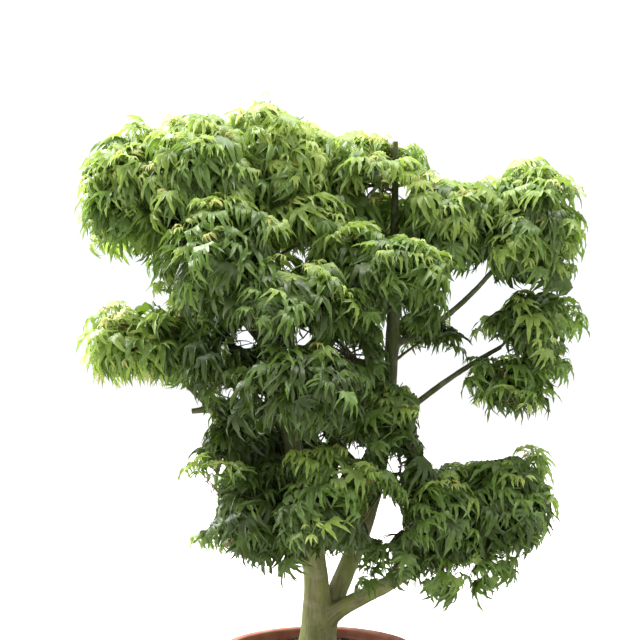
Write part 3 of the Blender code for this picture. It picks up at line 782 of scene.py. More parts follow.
def limb_tubes(limbs):
    """Closed tubes along all the limbs, as one curve."""
    curve = bpy.data.curves.new("limbs", "CURVE")
    curve.dimensions = "3D"
    curve.bevel_depth = 1.0
    curve.bevel_resolution = 3
    curve.use_fill_caps = True
    for limb in limbs.values():
        spline = curve.splines.new("POLY")
        spline.points.add(len(limb.points) - 1)
        for knot, point, radius in zip(spline.points, limb.points, limb.radii):
            knot.co = (*point, 1.0)
            knot.radius = radius
    return curve


def limb_grain(limbs, places):
    """Each place's nearest limb, as (across, across, along) in that limb's own frame, in metres."""
    best = np.full(len(places), np.inf)
    grain = np.zeros((len(places), 3))
    for number, limb in enumerate(limbs.values()):
        gaps, along, ways = limb.measure(places)
        near = gaps < best
        best[near] = gaps[near]
        axis = limb.points[-1] - limb.points[0]
        length = np.linalg.norm(axis)
        side = np.cross(axis, (0.0, 1.0, 0.0) if abs(axis[1]) < 0.8 * length else (1.0, 0.0, 0.0))
        side /= np.linalg.norm(side)
        other = np.cross(axis / length, side)
        radius = np.interp(along, limb.lengths, limb.radii)
        grain[near, 0] = (ways @ side * radius)[near]
        grain[near, 1] = (ways @ other * radius)[near]
        grain[near, 2] = along[near] + GRAIN_SHIFT * number
    return grain


def bark_relief(grain):
    """How far the bark stands out at each place: streaks and lumps, and rings of old bud scars."""
    out = np.zeros(len(grain))
    for i, (x, y, z) in enumerate(grain):
        for level, along, shift, strength in BARK_BUMPS:
            out[i] += strength * noise.noise(Vector((x * level, y * level, z * along + shift)))
        wander = RING_WANDER * noise.noise(Vector((0, 0, z * RING_DRIFT)))
        out[i] += RING_STRENGTH * max(0.0, math.sin(z * RING_PITCH + wander) - RING_EDGE)
    return out * RELIEF


def flare_foot(places):
    """Widens the foot of the trunk into the tops of its roots."""
    above = np.clip(places[:, 2] - SOIL, 0, None)
    turn = np.arctan2(places[:, 1], places[:, 0])
    roots = sum((strength * np.cos(count * turn + shift) for strength, count, shift in ROOTS), 1)
    flare = sum((width * roots * np.exp(-above / height) for width, height in FLARE), 1)
    low = above < SHOULDER
    places[low, :2] *= flare[low, None]
    places[:, 2] = np.maximum(places[:, 2], SOIL - ROOT_DEPTH)


def bark_mesh(limbs):
    """One skin over all the limbs, with a fillet in each fork and the bark's relief."""
    mesh = applied(applied(limb_tubes(limbs)), "REMESH", mode="VOXEL", voxel_size=VOXEL)
    places = np.empty(len(mesh.vertices) * 3)
    mesh.vertices.foreach_get("co", places)
    places = places.reshape(-1, 3)
    relief = np.zeros(len(places))
    for last in (False, False, True):
        measured = [limb.measure(places) for limb in limbs.values()]
        gaps = np.array([gap for gap, _, _ in measured])
        least = gaps.min(0)
        weights = np.exp(-(gaps - least) / FILLET)
        ways = sum(weight[:, None] * way for weight, (_, _, way) in zip(weights, measured))
        ways /= np.linalg.norm(ways, axis=1)[:, None] + 1e-9
        if last:
            grain = limb_grain(limbs, places)
            relief = bark_relief(grain)
        places += ways * (relief - least + FILLET * np.log(weights.sum(0)))[:, None]
    flare_foot(places)
    mesh.vertices.foreach_set("co", places.astype(np.float32).ravel())
    along = mesh.attributes.new("along_limb", "FLOAT_VECTOR", "POINT")
    along.data.foreach_set("vector", grain.astype(np.float32).ravel())
    mesh.shade_smooth()
    mesh.update()
    return mesh


# ---- Foliage ----

Leaf = namedtuple("Leaf", "place way upper length detailed light overhang")


def lobe_point(row, column, lobe, curl, sweep, fold):
    """A point on a lobe that arcs down from the leaf's hub. The column is -1, 0 or 1, for an edge or
    the midrib, and the row is (place along the midrib, the edge's place, half width)."""
    angle, length = lobe
    out = Vector((math.cos(angle), math.sin(angle), 0))
    side = Vector((-math.sin(angle), math.cos(angle), 0))
    place = row[1] if column else row[0]
    bend = curl * place
    along = out * math.sin(bend) / curl - UP * (1 - math.cos(bend)) / curl
    along += side * sweep * place**2 / 2
    upwards = UP * math.cos(bend) + out * math.sin(bend)
    flat, raised = side * column * row[2] * math.cos(fold), upwards * abs(column) * row[2]
    return (along + flat + raised * math.sin(fold)) * length


def add_lobe(shape, rng, lobe, rows, notches, droop):
    """Adds a lobe, from the hub and the notches on both sides of it to its tip."""
    hang, fold = droop
    curl = hang * rng.uniform(*CURL)
    sweep = rng.uniform(*SWEEP)
    inner = rows if lobe[1] > SHORT_LOBE else SHORT_ROWS
    table = [(0.0, 0.0, 0.0), (BASE_ROW, None, 0.0), *inner, (1.0, 1.0, 0.0)]
    grid = bmesh.ops.create_grid(shape, x_segments=2, y_segments=len(table) - 1, size=1.0)
    rib = shape.verts.layers.int["rib"]
    for vert in grid["verts"]:
        column = round(vert.co.x)
        row = table[round((vert.co.y + 1) / 2 * (len(table) - 1))]
        vert[rib] = column == 0
        if row[1] is None and column:
            turn, reach = notches[column > 0]
            vert.co = Vector((math.cos(turn), math.sin(turn), NOTCH_RISE)) * reach
        else:
            row = (row[0], row[1] or row[0], row[2])
            vert.co = lobe_point(row, column, lobe, curl, sweep, fold)
            if row[2]:
                vert.co += Vector([rng.gauss(0, play) for play in CRUMPLE])


def leaf_arrays(rng, lobes, rows):
    """One palmate leaf on its stalk, one unit from hub to the middle lobe's tip, as points, triangles
    and which points lie on a midrib. The stalk starts at the origin and the blade hangs from its end."""
    shape = bmesh.new()
    rib = shape.verts.layers.int.new("rib")
    half = [(math.radians(angle), length) for angle, length in lobes]
    fan = sorted([(-angle, length) for angle, length in half[1:]] + half)
    fan = [(turn + rng.uniform(*LOBE_TURN), length * rng.uniform(*LOBE_LENGTH)) for turn, length in fan]
    heel = min(HEEL_MOST, fan[-1][0] + HEEL_TURN)
    # Each notch lies on the line between two lobes, so that they meet there.
    between = [((a[0] + b[0]) / 2, NOTCH) for a, b in zip(fan, fan[1:])]
    notches = [(-heel, HEEL), *between, (heel, HEEL)]
    droop = rng.uniform(*HANG), math.radians(rng.uniform(*FOLD))
    for number, lobe in enumerate(fan):
        add_lobe(shape, rng, lobe, rows, notches[number : number + 2], droop)
    bmesh.ops.remove_doubles(shape, verts=shape.verts, dist=1e-4)
    pitch = Matrix.Rotation(math.radians(rng.uniform(*PITCH)), 3, "Y")
    rise = math.radians(rng.uniform(*RISE))
    stalk = Vector((math.cos(rise), 0, math.sin(rise))) * rng.uniform(*STALK)
    bmesh.ops.rotate(shape, verts=shape.verts, matrix=pitch)
    bmesh.ops.translate(shape, verts=shape.verts, vec=stalk)
    blade = shape.faces[:]
    wide, thin = STALK_RADII
    cone = bmesh.ops.create_cone(
        shape, cap_ends=False, segments=3, radius1=wide, radius2=thin, depth=stalk.length
    )
    turn = stalk.to_track_quat("Z", "Y").to_matrix().to_4x4()
    turn.translation = stalk / 2
    bmesh.ops.transform(shape, matrix=turn, verts=cone["verts"])
    if sum(face.normal.z for face in blade) < 0:
        bmesh.ops.reverse_faces(shape, faces=blade)
    bmesh.ops.triangulate(shape, faces=shape.faces)
    ribs = np.array([bool(vert[rib]) for vert in shape.verts])
    return (*arrays_of(shape), ribs)


def spiral(rng, count):
    """Directions spread evenly over the top and sides of a pad, in a spiral with a little play."""
    turn = rng.uniform(0, TURN)
    for i in range(count):
        height = 1 - (i + SPIRAL_START) / count * (1 - LOWEST)
        height = max(-1.0, min(1.0, height + rng.uniform(*SPIRAL_RISE)))
        angle = turn + i * GOLDEN_ANGLE + rng.uniform(*SPIRAL_TURN)
        level = math.sqrt(1 - height**2)
        yield Vector((level * math.cos(angle), level * math.sin(angle), height))


def across(axis):
    """Two unit vectors square to an axis and to each other."""
    side = axis.cross(UP if abs(axis.z) < 0.9 else Vector((1, 0, 0))).normalized()
    return side, axis.cross(side)


def leaf_pose(place, axis, out, turn, rise, rng):
    """Where a leaf starts, the way it grows, and its upper side. It leaves its shoot to the side."""
    side, other = across(axis)
    way = side * math.cos(turn) + other * math.sin(turn)
    way += out * rng.uniform(*LEAF_OUT) + UP * rise
    way.normalize()
    upper = UP + out * rng.uniform(*FACE_OUT)
    upper = (upper - way * upper.dot(way)).normalized()
    return place, way, Matrix.Rotation(rng.gauss(0, ROLL), 3, way) @ upper


class Envelope:
    """The outline of all the pads, in which each one runs softly into its neighbours."""

    def __init__(self, pads):
        self.middles = np.array([pad.middle for pad in pads.values()])
        self.reaches = np.array([pad.reach for pad in pads.values()])
        self.sizes = self.reaches.mean(1)

    def height(self, places):
        """How far out of the outline each place is, in metres, and less than zero inside."""
        off = (places[..., None, :] - self.middles) / self.reaches
        out = (np.linalg.norm(off, axis=-1) - 1) * self.sizes
        least = out.min(-1)
        return INSET + least - BLEND * np.log(np.exp(-(out - least[..., None]) / BLEND).sum(-1))

    def surface(self, pad, way):
        """How far from a pad's middle the outline or a fence is, and how deep inside that is."""
        steps = np.arange(*SEARCH) * pad.radius(way)
        steps = steps[steps < max(pad.room(way), steps[0] + 1e-6)]
        heights = self.height(np.array(pad.middle) + steps[:, None] * np.array(way))
        outside = np.nonzero(heights > 0)[0]
        last = outside[0] if len(outside) else len(steps) - 1
        return float(steps[last]), float(min(0.0, heights[last]))


def grow_pad(pad, limbs, settings, pads, envelope):
    """The twigs of a pad, each as (points, radii, young), and its leaves."""
    rng = random.Random(f"{SEED} {pad.name}")
    limb, place = carrier_of(pad.name, limbs)
    start, radius = limb.at(place)
    stem = min(STEM_RADIUS, STEM_SHARE * radius)
    points = path(start, (start + pad.middle) / 2 + UP * TWIG_BOW, pad.middle, 3)
    twigs = [(points, (stem, stem * STEM_TAPER), 0)]
    leaves = []
    forks = []
    for direction in spiral(rng, FORKS):
        way = pad.stretched(direction).normalized()
        far, _ = envelope.surface(pad, way)
        end = pad.middle + way * far * FORK_PLACE
        root = start.lerp(pad.middle, rng.uniform(*FORK_ROOTS))
        twigs.append((path(root, root.lerp(end, 0.5) + UP * TWIG_BOW, end, 2), BRANCHLET_RADII, 0))
        forks.append((way, end))
    count = round(pad.area() * (1 - LOWEST) / 2 / settings.spray_area)
    for direction in spiral(rng, count):
        way = pad.stretched(direction).normalized()
        outward = pad.squeezed(direction).normalized()
        far, depth = envelope.surface(pad, way)
        hidden = depth < -HIDDEN_DEPTH
        proud = min(PROUD[1], max(PROUD[0], rng.gauss(*PROUD_PLAY)))
        if way.z > STRAY_FROM and not hidden and rng.random() < STRAY_SHARE:
            proud = rng.uniform(*STRAY_PROUD)
        set_back = SET_BACK[way.z >= TOP_FROM]
        end = pad.middle + way * max(LEAST_REACH, far - set_back + proud)
        # The spray's light, painted into its leaves' colours: painted light where it faces up, back or left,
        # lies open above, stands out or sits high, and painted shade where it is hidden
        light = LIGHT_UPWARDS * way.z + LIGHT_OPEN * open_above(pad, end, pads)
        light = light + LIGHT_PROUD * proud + rng.gauss(0, LIGHT_PLAY)
        higher = LIGHT_HIGHER * (pad.middle.z - SOIL - LIGHT_LEVEL)
        light += higher + LIGHT_BACK * way.y - LIGHT_LEFT * end.x
        light += pad.light - HIDDEN_SHADE * hidden
        grow_spray(rng, settings, forks, pad, (end, outward, proud), light, hidden, twigs, leaves)
    for *end, light in SIDE_SHOOTS.get(pad.name, ()):
        end = Vector(metres(end)) + UP * SOIL
        tip = end, (end - pad.middle).normalized(), SIDE_PROUD
        grow_spray(rng, settings, forks, pad, tip, light, False, twigs, leaves)
    return twigs, leaves


def changed(pair, share):
    """A value that starts at the first of a pair and has changed by the second at its end."""
    return pair[0] + pair[1] * share


def grow_spray(rng, settings, forks, pad, tip, light, hidden, twigs, leaves):
    """A shoot from the nearest fork to its tip, which is (place, way out of the pad, how far it stands
    out), with leaves in pairs along it and a rosette at its end. None grows into an opening."""
    end, outward, proud = tip
    way = (end - pad.middle).normalized()
    if in_opening(np.array([end + way * SHOOT_TIP[0], end - way * SHOOT_TIP[1]])).all():
        return
    _, fork = min(forks, key=lambda known: -known[0].dot(way))
    bend = fork + (end - fork) * 0.5 + way * SHOOT_BOW + UP * SHOOT_BOW
    points = path(fork, bend, end, 3)
    twigs.append((points, SHOOT_RADII, 1 if light > YOUNG_LIGHT else 0))
    onwards, outwards, upwards = SHOOT_AXIS
    axis = (points[-1] - points[-2]).normalized() * onwards + outward * outwards + UP * upwards
    axis.normalize()
    turn = rng.uniform(0, TURN)
    stray = proud > PROUD[1]
    vigour = settings.leaf_length * rng.uniform(*VIGOUR) * (STRAY_VIGOUR if stray else 1.0)
    for k in range(HIDDEN_ROSETTE if hidden else ROSETTE):
        late = k / (ROSETTE - 1)
        turn += GOLDEN_ANGLE + rng.uniform(-TURN_PLAY, TURN_PLAY)
        rise = -settings.droop * changed(ROSETTE_HANG, late) * rng.uniform(*HANG_PLAY)
        rise += STRAY_RISE if stray else 0.0
        where = end + axis * (ROSETTE_TOP - ROSETTE_DEPTH * (1 - late))
        size = vigour * changed(ROSETTE_TAPER, late) * rng.uniform(*ROSETTE_SIZE)
        pose = leaf_pose(where, axis, outward, turn, rise, rng)
        tone = light + ROSETTE_LIGHT[1] * late + ROSETTE_LIGHT[0]
        leaves.append(Leaf(*pose, size, not hidden, tone, max(0.0, proud)))
    for share in HIDDEN_PAIRS if hidden else PAIRS:
        spot = points[1].lerp(points[2], share)
        if share > OUTER_PAIRS:
            spot = points[2].lerp(end, (share - OUTER_START) * OUTER_RATE)
        turn += GOLDEN_ANGLE
        size = vigour * rng.uniform(*PAIR_SIZE)
        pose = leaf_pose(spot, axis, outward, turn, rng.uniform(*PAIR_RISE), rng)
        leaves.append(Leaf(*pose, size, False, light - PAIR_SHADE, 0.0))
    if light > OPEN_LIGHT and not hidden:
        for k, extra in enumerate(BUD_LIGHTS):
            size = vigour * rng.uniform(*BUD_SIZE)
            where = end + axis * BUD_PLACE
            pose = leaf_pose(where, axis, axis, turn + k * BUD_TURN, BUD_RISE, rng)
            leaves.append(Leaf(*pose, size, False, light + extra, BUD_OVERHANG))


def open_above(pad, place, pads):
    """From 0 to 1, how little foliage hangs over a place."""
    cover = 0.0
    for other in pads.values():
        if other is pad:
            continue
        off = other.middle - place
        if off.z > COVER_FROM:
            flat = math.hypot(off.x / other.reach.x, off.y / other.reach.y)
            cover += max(0.0, COVER_WIDTH - flat) * min(1.0, off.z / COVER_FULL)
    return max(0.0, 1 - cover)


def in_opening(places):
    """Whether each place lies in one of the crown's openings."""
    near = EYE_DISTANCE / (EYE_DISTANCE + places[..., 1])
    across_view = places[..., 0] * near
    up_view = EYE_HEIGHT + (places[..., 2] - SOIL - EYE_HEIGHT) * near
    found = np.zeros(places.shape[:-1], bool)
    for row in OPENINGS:
        x, z, half_width, half_height, back = (*metres(row), math.inf)[:5]
        inside = ((across_view - x) / half_width) ** 2 + ((up_view - z) / half_height) ** 2 < 1
        found |= inside & (places[..., 1] < back)
    return found


def kept_leaves(leaves, pad, limbs, envelope):
    """Which leaves stay in the crown's outline and clear of every limb, where each starts, and its axes
    times its length."""
    places, ways, uppers, sizes, _, _, overhang = (np.array(column) for column in zip(*leaves))
    turns = np.stack([ways, np.cross(uppers, ways), uppers], axis=2) * sizes[:, None, None]
    probes = np.einsum("nij,pj->npi", turns, np.array(PROBES)) + places[:, None]
    under = np.clip((pad.middle.z - places[:, 2]) / pad.reach.z, 0, 1)
    kept = (envelope.height(probes) < (overhang + SKIRT * under)[:, None]).all(1)
    kept &= (probes[..., 2] > SOIL + SOIL_CLEARANCE).all(1)
    for normal, limit in pad.fences:
        kept &= ((probes - np.array(pad.middle)) @ np.array(normal) < limit + OVERLAP).all(1)
    flat = probes.reshape(-1, 3)
    for limb in limbs.values():
        gaps, _, _ = limb.measure(flat)
        kept &= (gaps.reshape(len(leaves), -1) > LIMB_CLEARANCE).all(1)
    return kept, places, turns


def grow_crown(settings):
    """The pads, the limbs, the crown's outline, and all the pads' twigs and leaves by pad name."""
    pads = make_pads()
    limbs = make_limbs(pads)
    envelope = Envelope(pads)
    grown = {name: grow_pad(pad, limbs, settings, pads, envelope) for name, pad in pads.items()}
    return pads, limbs, envelope, grown


def leaf_piece(name, crown, masters, materials):
    """One piece of leaves, from every leaf that its pads keep."""
    pads, limbs, envelope, grown = crown
    parts, tones, ribs = [], [], []
    for pad_name in REGIONS[name]:
        leaves = grown[pad_name][1]
        kept, places, turns = kept_leaves(leaves, pads[pad_name], limbs, envelope)
        rng = random.Random(f"{SEED} {pad_name} leaves")
        choice = np.array([rng.randrange(VARIANTS) for _ in leaves])
        light = np.array([leaf.light + rng.gauss(0, TONE_PLAY) for leaf in leaves])
        detailed = np.array([leaf.detailed for leaf in leaves])
        for variant in range(VARIANTS):
            for detail in (False, True):
                chosen = np.nonzero(kept & (choice == variant) & (detailed == detail))[0]
                if not len(chosen):
                    continue
                points, faces, rib = masters[detail][variant]
                made = np.einsum("nij,pj->npi", turns[chosen], points) + places[chosen][:, None]
                clear = ~in_opening(made).any(1)
                made, chosen = made[clear], chosen[clear]
                offsets = np.arange(len(chosen))[:, None, None] * len(points)
                parts.append((made.reshape(-1, 3), (faces[None] + offsets).reshape(-1, 3)))
                # Each leaf's colour is picked by its light, as painted light and shade
                tones.append(np.repeat(np.searchsorted(TONE_STEPS, light[chosen]), len(faces)))
                ribs.append(np.tile(rib, len(chosen)))
    mesh = mesh_from_arrays(name, *joined(parts), np.concatenate(tones))
    crease(mesh, np.concatenate(ribs))
    add_piece(name, mesh, materials, REGIONS[name])


def crease(mesh, ribs):
    """Makes each leaf's midribs sharp, between blades that are smooth."""
    ends = np.empty(len(mesh.edges) * 2, np.int32)
    mesh.edges.foreach_get("vertices", ends)
    sharp = mesh.attributes.new("sharp_edge", "BOOLEAN", "EDGE")
    sharp.data.foreach_set("value", ribs[ends.reshape(-1, 2)].all(1))


def tube_arrays(points, radii, sides=3):
    """A twig as points and triangles, closed to a point at its end."""
    rings, count = [], len(points)
    axis = (points[-1] - points[0]).normalized()
    side, other = across(axis)
    for i, point in enumerate(points):
        radius = radii[0] + (radii[1] - radii[0]) * (i / (count - 1))
        for k in range(sides):
            turn = TURN * k / sides
            rings.append(point + (side * math.cos(turn) + other * math.sin(turn)) * radius)
    rings.append(points[-1] + axis * radii[1])
    faces = []
    for i in range(count - 1):
        for k in range(sides):
            a, b = i * sides + k, i * sides + (k + 1) % sides
            faces += [(a, b, b + sides), (a, b + sides, a + sides)]
    last = (count - 1) * sides
    faces += [(last + k, last + (k + 1) % sides, len(rings) - 1) for k in range(sides)]
    return np.array(rings), np.array(faces)


# ---- Pot and compost ----


def wall_radius(height):
    """The pot's outer radius below its band."""
    return POT_FOOT_RADIUS + (POT_RIM_RADIUS - RIM_STEP - POT_FOOT_RADIUS) / POT_HEIGHT * height


def arc(centre, radius, start, end, steps):
    """Points (across, height) on an arc, from one angle to another in degrees."""
    turns = (math.radians(start + (end - start) * i / steps) for i in range(steps + 1))
    return [(centre[0] + radius * math.cos(t), centre[1] + radius * math.sin(t)) for t in turns]


def pot_profile():
    """The pot's wall as (radius, height), from its middle underneath, up the outside and down inside."""
    band = POT_HEIGHT - RIM_BAND
    lip = LIP_ROUND
    low, high = WALL_ENDS
    inner = POT_RIM_RADIUS - RIM_STEP - POT_WALL + lip
    # Underneath, its edge and the wall
    points = [(0.0, 0.0)] + [(x, 0.0) for x in np.linspace(FLAT_RING, POT_FOOT_RADIUS - FLAT_EDGE, 10)]
    points += arc((POT_FOOT_RADIUS - EDGE_ROUND, EDGE_ROUND), EDGE_ROUND, -90, 0, 3)
    points += [(wall_radius(z), z) for z in np.linspace(low, band - high, 54)]
    # The corner under the band, the band and the lip
    points += arc((wall_radius(band) + EDGE_ROUND, band - WALL_CORNER), EDGE_ROUND, 180, 90, 3)
    inwards, upwards = BAND_CORNER
    points += arc((POT_RIM_RADIUS - inwards, band + upwards), EDGE_ROUND, -90, 0, 3)
    start, face = BAND_FACE
    for t in np.linspace(0, 1, 7):
        hollow = BAND_HOLLOW * math.sin(t * math.pi)
        points.append((POT_RIM_RADIUS - hollow, band + start + t * face))
    points += arc((POT_RIM_RADIUS - lip, POT_HEIGHT - lip), lip, 0, 90, 5)
    points += arc((inner, POT_HEIGHT - lip), lip, 90, 180, 5)
    # The inner wall from the top down, and the floor
    inside = POT_FOOT_RADIUS - POT_WALL
    wider = inner - lip - inside
    under_lip, end = INNER_WALL
    depth = POT_HEIGHT - under_lip - POT_FLOOR
    points += [(inside + wider * t, POT_FLOOR + depth * t) for t in np.linspace(1, end, 30)]
    points += [(x, POT_FLOOR) for x in np.linspace(inside - EDGE_ROUND, FLAT_RING, 10)]
    return points + [(0.0, POT_FLOOR)]


def turned(points, steps):
    """A profile of (radius, height) turned round the pot's middle."""
    shape = bmesh.new()
    verts = [shape.verts.new((radius, 0.0, height)) for radius, height in points]
    edges = [shape.edges.new(pair) for pair in zip(verts, verts[1:])]
    around = {"cent": (0, 0, 0), "axis": (0, 0, 1), "angle": TURN, "steps": steps, "use_merge": True}
    bmesh.ops.spin(shape, geom=verts + edges, **around)
    bmesh.ops.remove_doubles(shape, verts=shape.verts, dist=1e-5)
    return shape


def smoothed(mesh, crease_angle):
    """The mesh, smooth but for edges that are sharper than this."""
    mesh.shade_smooth()
    mesh.set_sharp_from_angle(angle=math.radians(crease_angle))
    return mesh


def pot_mesh(steps):
    shape = turned(pot_profile(), steps)
    for vert in shape.verts:
        level = math.hypot(vert.co.x, vert.co.y)
        if level > FLAT_RING and EDGE_ROUND < vert.co.z:
            ring = noise.noise(Vector((0, 0, vert.co.z * RINGS))) * RING_DEPTH
            hand = noise.noise(vert.co * HAND) * HAND_DEPTH
            vert.co.xy *= 1 + (ring + hand) / level
    drill = bmesh.new()
    hole = {"radius1": DRAIN_RADIUS, "radius2": DRAIN_RADIUS, "depth": 4 * POT_FLOOR, "segments": 24}
    for i in range(DRAIN_HOLES):
        angle = TURN * (i + 0.5) / DRAIN_HOLES
        place = (math.cos(angle) * DRAIN_CIRCLE, math.sin(angle) * DRAIN_CIRCLE, 0)
        bmesh.ops.create_cone(drill, cap_ends=True, matrix=Matrix.Translation(place), **hole)
    mesh = mesh_from_bmesh("terracotta_pot", shape)
    cutter = add_object("drain holes", mesh_from_bmesh("drain holes", drill))
    mesh = applied(mesh, "BOOLEAN", object=cutter, operation="DIFFERENCE", solver="EXACT")
    bpy.data.objects.remove(cutter)
    return smoothed(mesh, 40)


def soil_height(x, y):
    """The compost's surface, which is heaped a little round the trunk."""
    high, wide = HEAP
    heap = high * math.exp(-((math.hypot(x, y) / wide) ** 2))
    rough = sum(noise.noise(Vector((x * many, y * many, z))) * size for many, z, size in SOIL_LUMPS)
    return SOIL - SOIL_DIP + heap + rough


def compost_mesh():
    inside, floor = POT_FOOT_RADIUS - POT_WALL - SOIL_GAP, POT_FLOOR + SOIL_GAP
    points = [(x, SOIL) for x in np.linspace(0.0, SOIL_RADIUS, 60)]
    points += [(SOIL_RADIUS - SOIL_EDGE[0], SOIL - SOIL_EDGE[1]), (inside, floor), (0.0, floor)]
    shape = turned(points, 128)
    for vert in shape.verts:
        if vert.co.z > SOIL - SOIL_GAP:
            vert.co.z = soil_height(vert.co.x, vert.co.y)
    return smoothed(mesh_from_bmesh("compost_bed", shape), 50)


def crumb_mesh():
    """Crumbs of compost and slivers of composted bark on the surface."""
    rng = random.Random(f"{SEED} crumbs")
    shape = bmesh.new()
    bmesh.ops.create_icosphere(shape, subdivisions=1, radius=1.0)
    lump, faces = arrays_of(shape)
    parts = []
    for _ in range(CRUMBS):
        level = CRUMB_REACH * math.sqrt(rng.uniform(*CRUMB_AREA))
        turn = rng.uniform(0, TURN)
        x, y = level * math.cos(turn), level * math.sin(turn)
        size = rng.choice(CRUMB_SIZES) * rng.uniform(*CRUMB_SIZE_PLAY)
        stretch = np.array([rng.uniform(*reach) for reach in CRUMB_STRETCH])
        angle = rng.uniform(0, CRUMB_TURN)
        axis = Vector((rng.uniform(-CRUMB_LEAN[0], CRUMB_LEAN[0]), CRUMB_LEAN[1], 1))
        spin = np.array(Matrix.Rotation(angle, 3, axis))
        rough = np.array([rng.uniform(-CRUMB_PLAY, CRUMB_PLAY) for _ in lump])
        points = lump * (1 + rough[:, None]) * stretch * size
        parts.append((points @ spin.T + (x, y, soil_height(x, y) + size * CRUMB_LIFT), faces))
    return mesh_from_arrays("compost_crumbs", *joined(parts))


# ---- Settings ----


def number_setting(name, description, default, unit="LENGTH"):
    return FloatProperty(name=name, description=description, default=default, unit=unit)


def colour_setting(name, description, code):
    return FloatVectorProperty(
        name=name, description=description, default=linear(code), subtype="COLOR", size=3, min=0.0, max=1.0
    )


class MapleFoliage(bpy.types.PropertyGroup):
    """Leaves and twigs"""

    leaf_length: number_setting("Leaf length", "From the hub of a leaf to its middle tip", 0.070)
    spray_area: number_setting("Spray area", "What one spray covers of a pad's surface", 0.0064, "AREA")
    droop: number_setting("Droop", "How steeply leaves hang on a pad's sides", 0.50, "NONE")
    # The leaf colours are lit and shaded copies of one leaf, dealt out by each leaf's light: painted light
    # on the lighter ones and painted shade on the darker ones, though the fresh and unfolding ones are also
    # the paler young leaves at the shoots' tips
    unfolding: colour_setting("Unfolding leaf", "The smallest leaves in a rosette", "#b4b160")
    fresh: colour_setting("Fresh leaf", "Young leaves at the shoots' tips", "#a9ba58")
    sunlit: colour_setting("Sunlit leaf", "Leaves on top of the pads", "#879d4e")
    mid: colour_setting("Mid leaf", "Leaves on the pads' upper sides", "#617a37")
    mature: colour_setting("Mature leaf", "Leaves on the pads' lower sides", "#4c6228")
    deep: colour_setting("Deep leaf", "Leaves inside and under the pads", "#3b4c18")
    young_wood: colour_setting("Young wood", "This year's shoots", "#8c4f33")
    old_wood: colour_setting("Old wood", "Twigs inside the pads", "#5d5136")


class MapleBark(bpy.types.PropertyGroup):
    """Trunk and boughs"""

    base: colour_setting("Bark", "Smooth olive bark", "#757248")
    pale: colour_setting("Bloom", "Grey-green bloom in patches", "#96957a")
    dark: colour_setting("Streaks", "Dark streaks and pores", "#4c4a2c")
    # Greener on the younger wood, and darker higher up as painted shade under the crown
    green: colour_setting("Young bark", "Darker bark on the younger wood", "#394219")
    algae: colour_setting("Algae", "A green film on the bark", "#69742e")


class MaplePot(bpy.types.PropertyGroup):
    """Pot and compost"""

    steps: IntProperty(name="Steps", description="How many steps the pot is turned in", default=96, min=24)
    fired: colour_setting("Fired clay", "Dry terracotta", "#a8654a")
    bloom: colour_setting("Lime bloom", "Chalky salts on the clay", "#bd9178")
    damp: colour_setting("Damp clay", "Where the clay stays damp", "#8b4f3a")
    compost: colour_setting("Compost", "Moist compost", "#2b2018")
    fibre: colour_setting("Fibre", "Paler fibres in the compost", "#5a4631")


class MapleStage(bpy.types.PropertyGroup):
    """Studio"""

    camera_height: number_setting("Camera height", "Above the floor", 1.136)
    camera_distance: number_setting("Camera distance", "In front of the trunk", 3.0)
    lens: number_setting("Lens", "Focal length", 84.375, "CAMERA")
    floor: colour_setting("Floor", "Painted studio floor", "#c9c8c4")
    # The far floor's paler colour is painted light
    far_floor: colour_setting("Far floor", "The floor where it runs into the surround", "#f7f3f1")
    surround: colour_setting("Surround", "Light from all round", "#f3f6f8")


LEAF_LIT = (1.16, 0.11)  # a lit patch's share of the leaf's colour, and of its strongest channel added to it
LEAF_SHADED = (0.68, 0.70, 0.42)  # a shaded patch's shares of its red, green and blue
# Leaf colours from deep shade to the shoots' tips, painted shade to painted light: the light that comes
# through, how much, roughness
LEAF_TONES = (
    ("deep", "#65832a", 0.14, 0.46),
    ("mature", "#7a9f30", 0.18, 0.44),
    ("mid", "#92b840", 0.24, 0.43),
    ("sunlit", "#b3cf5a", 0.34, 0.44),
    ("fresh", "#d2e29a", 0.40, 0.48),
    ("unfolding", "#d9d592", 0.36, 0.50),
)
# Studio lights: where each hangs, its width and its power in watts. They point at the crown's middle.
LIGHTS = {
    "key": ((-3.0, 2.0, 3.8), 3.0, 860.0),
    "top": ((0.8, 0.6, 4.4), 3.0, 260.0),
    "front": ((1.8, -4.2, 2.6), 2.6, 12.0),
}
LIGHTS_AIM = Vector((0, 0, 1.0))
FLOOR_RADIUS = 14.0
SURROUND_STRENGTH = 1.2
CAMERA_TURN = (math.radians(90 - 2.1), 0.0, -math.atan(2 / 1500))


# ---- Operators ----


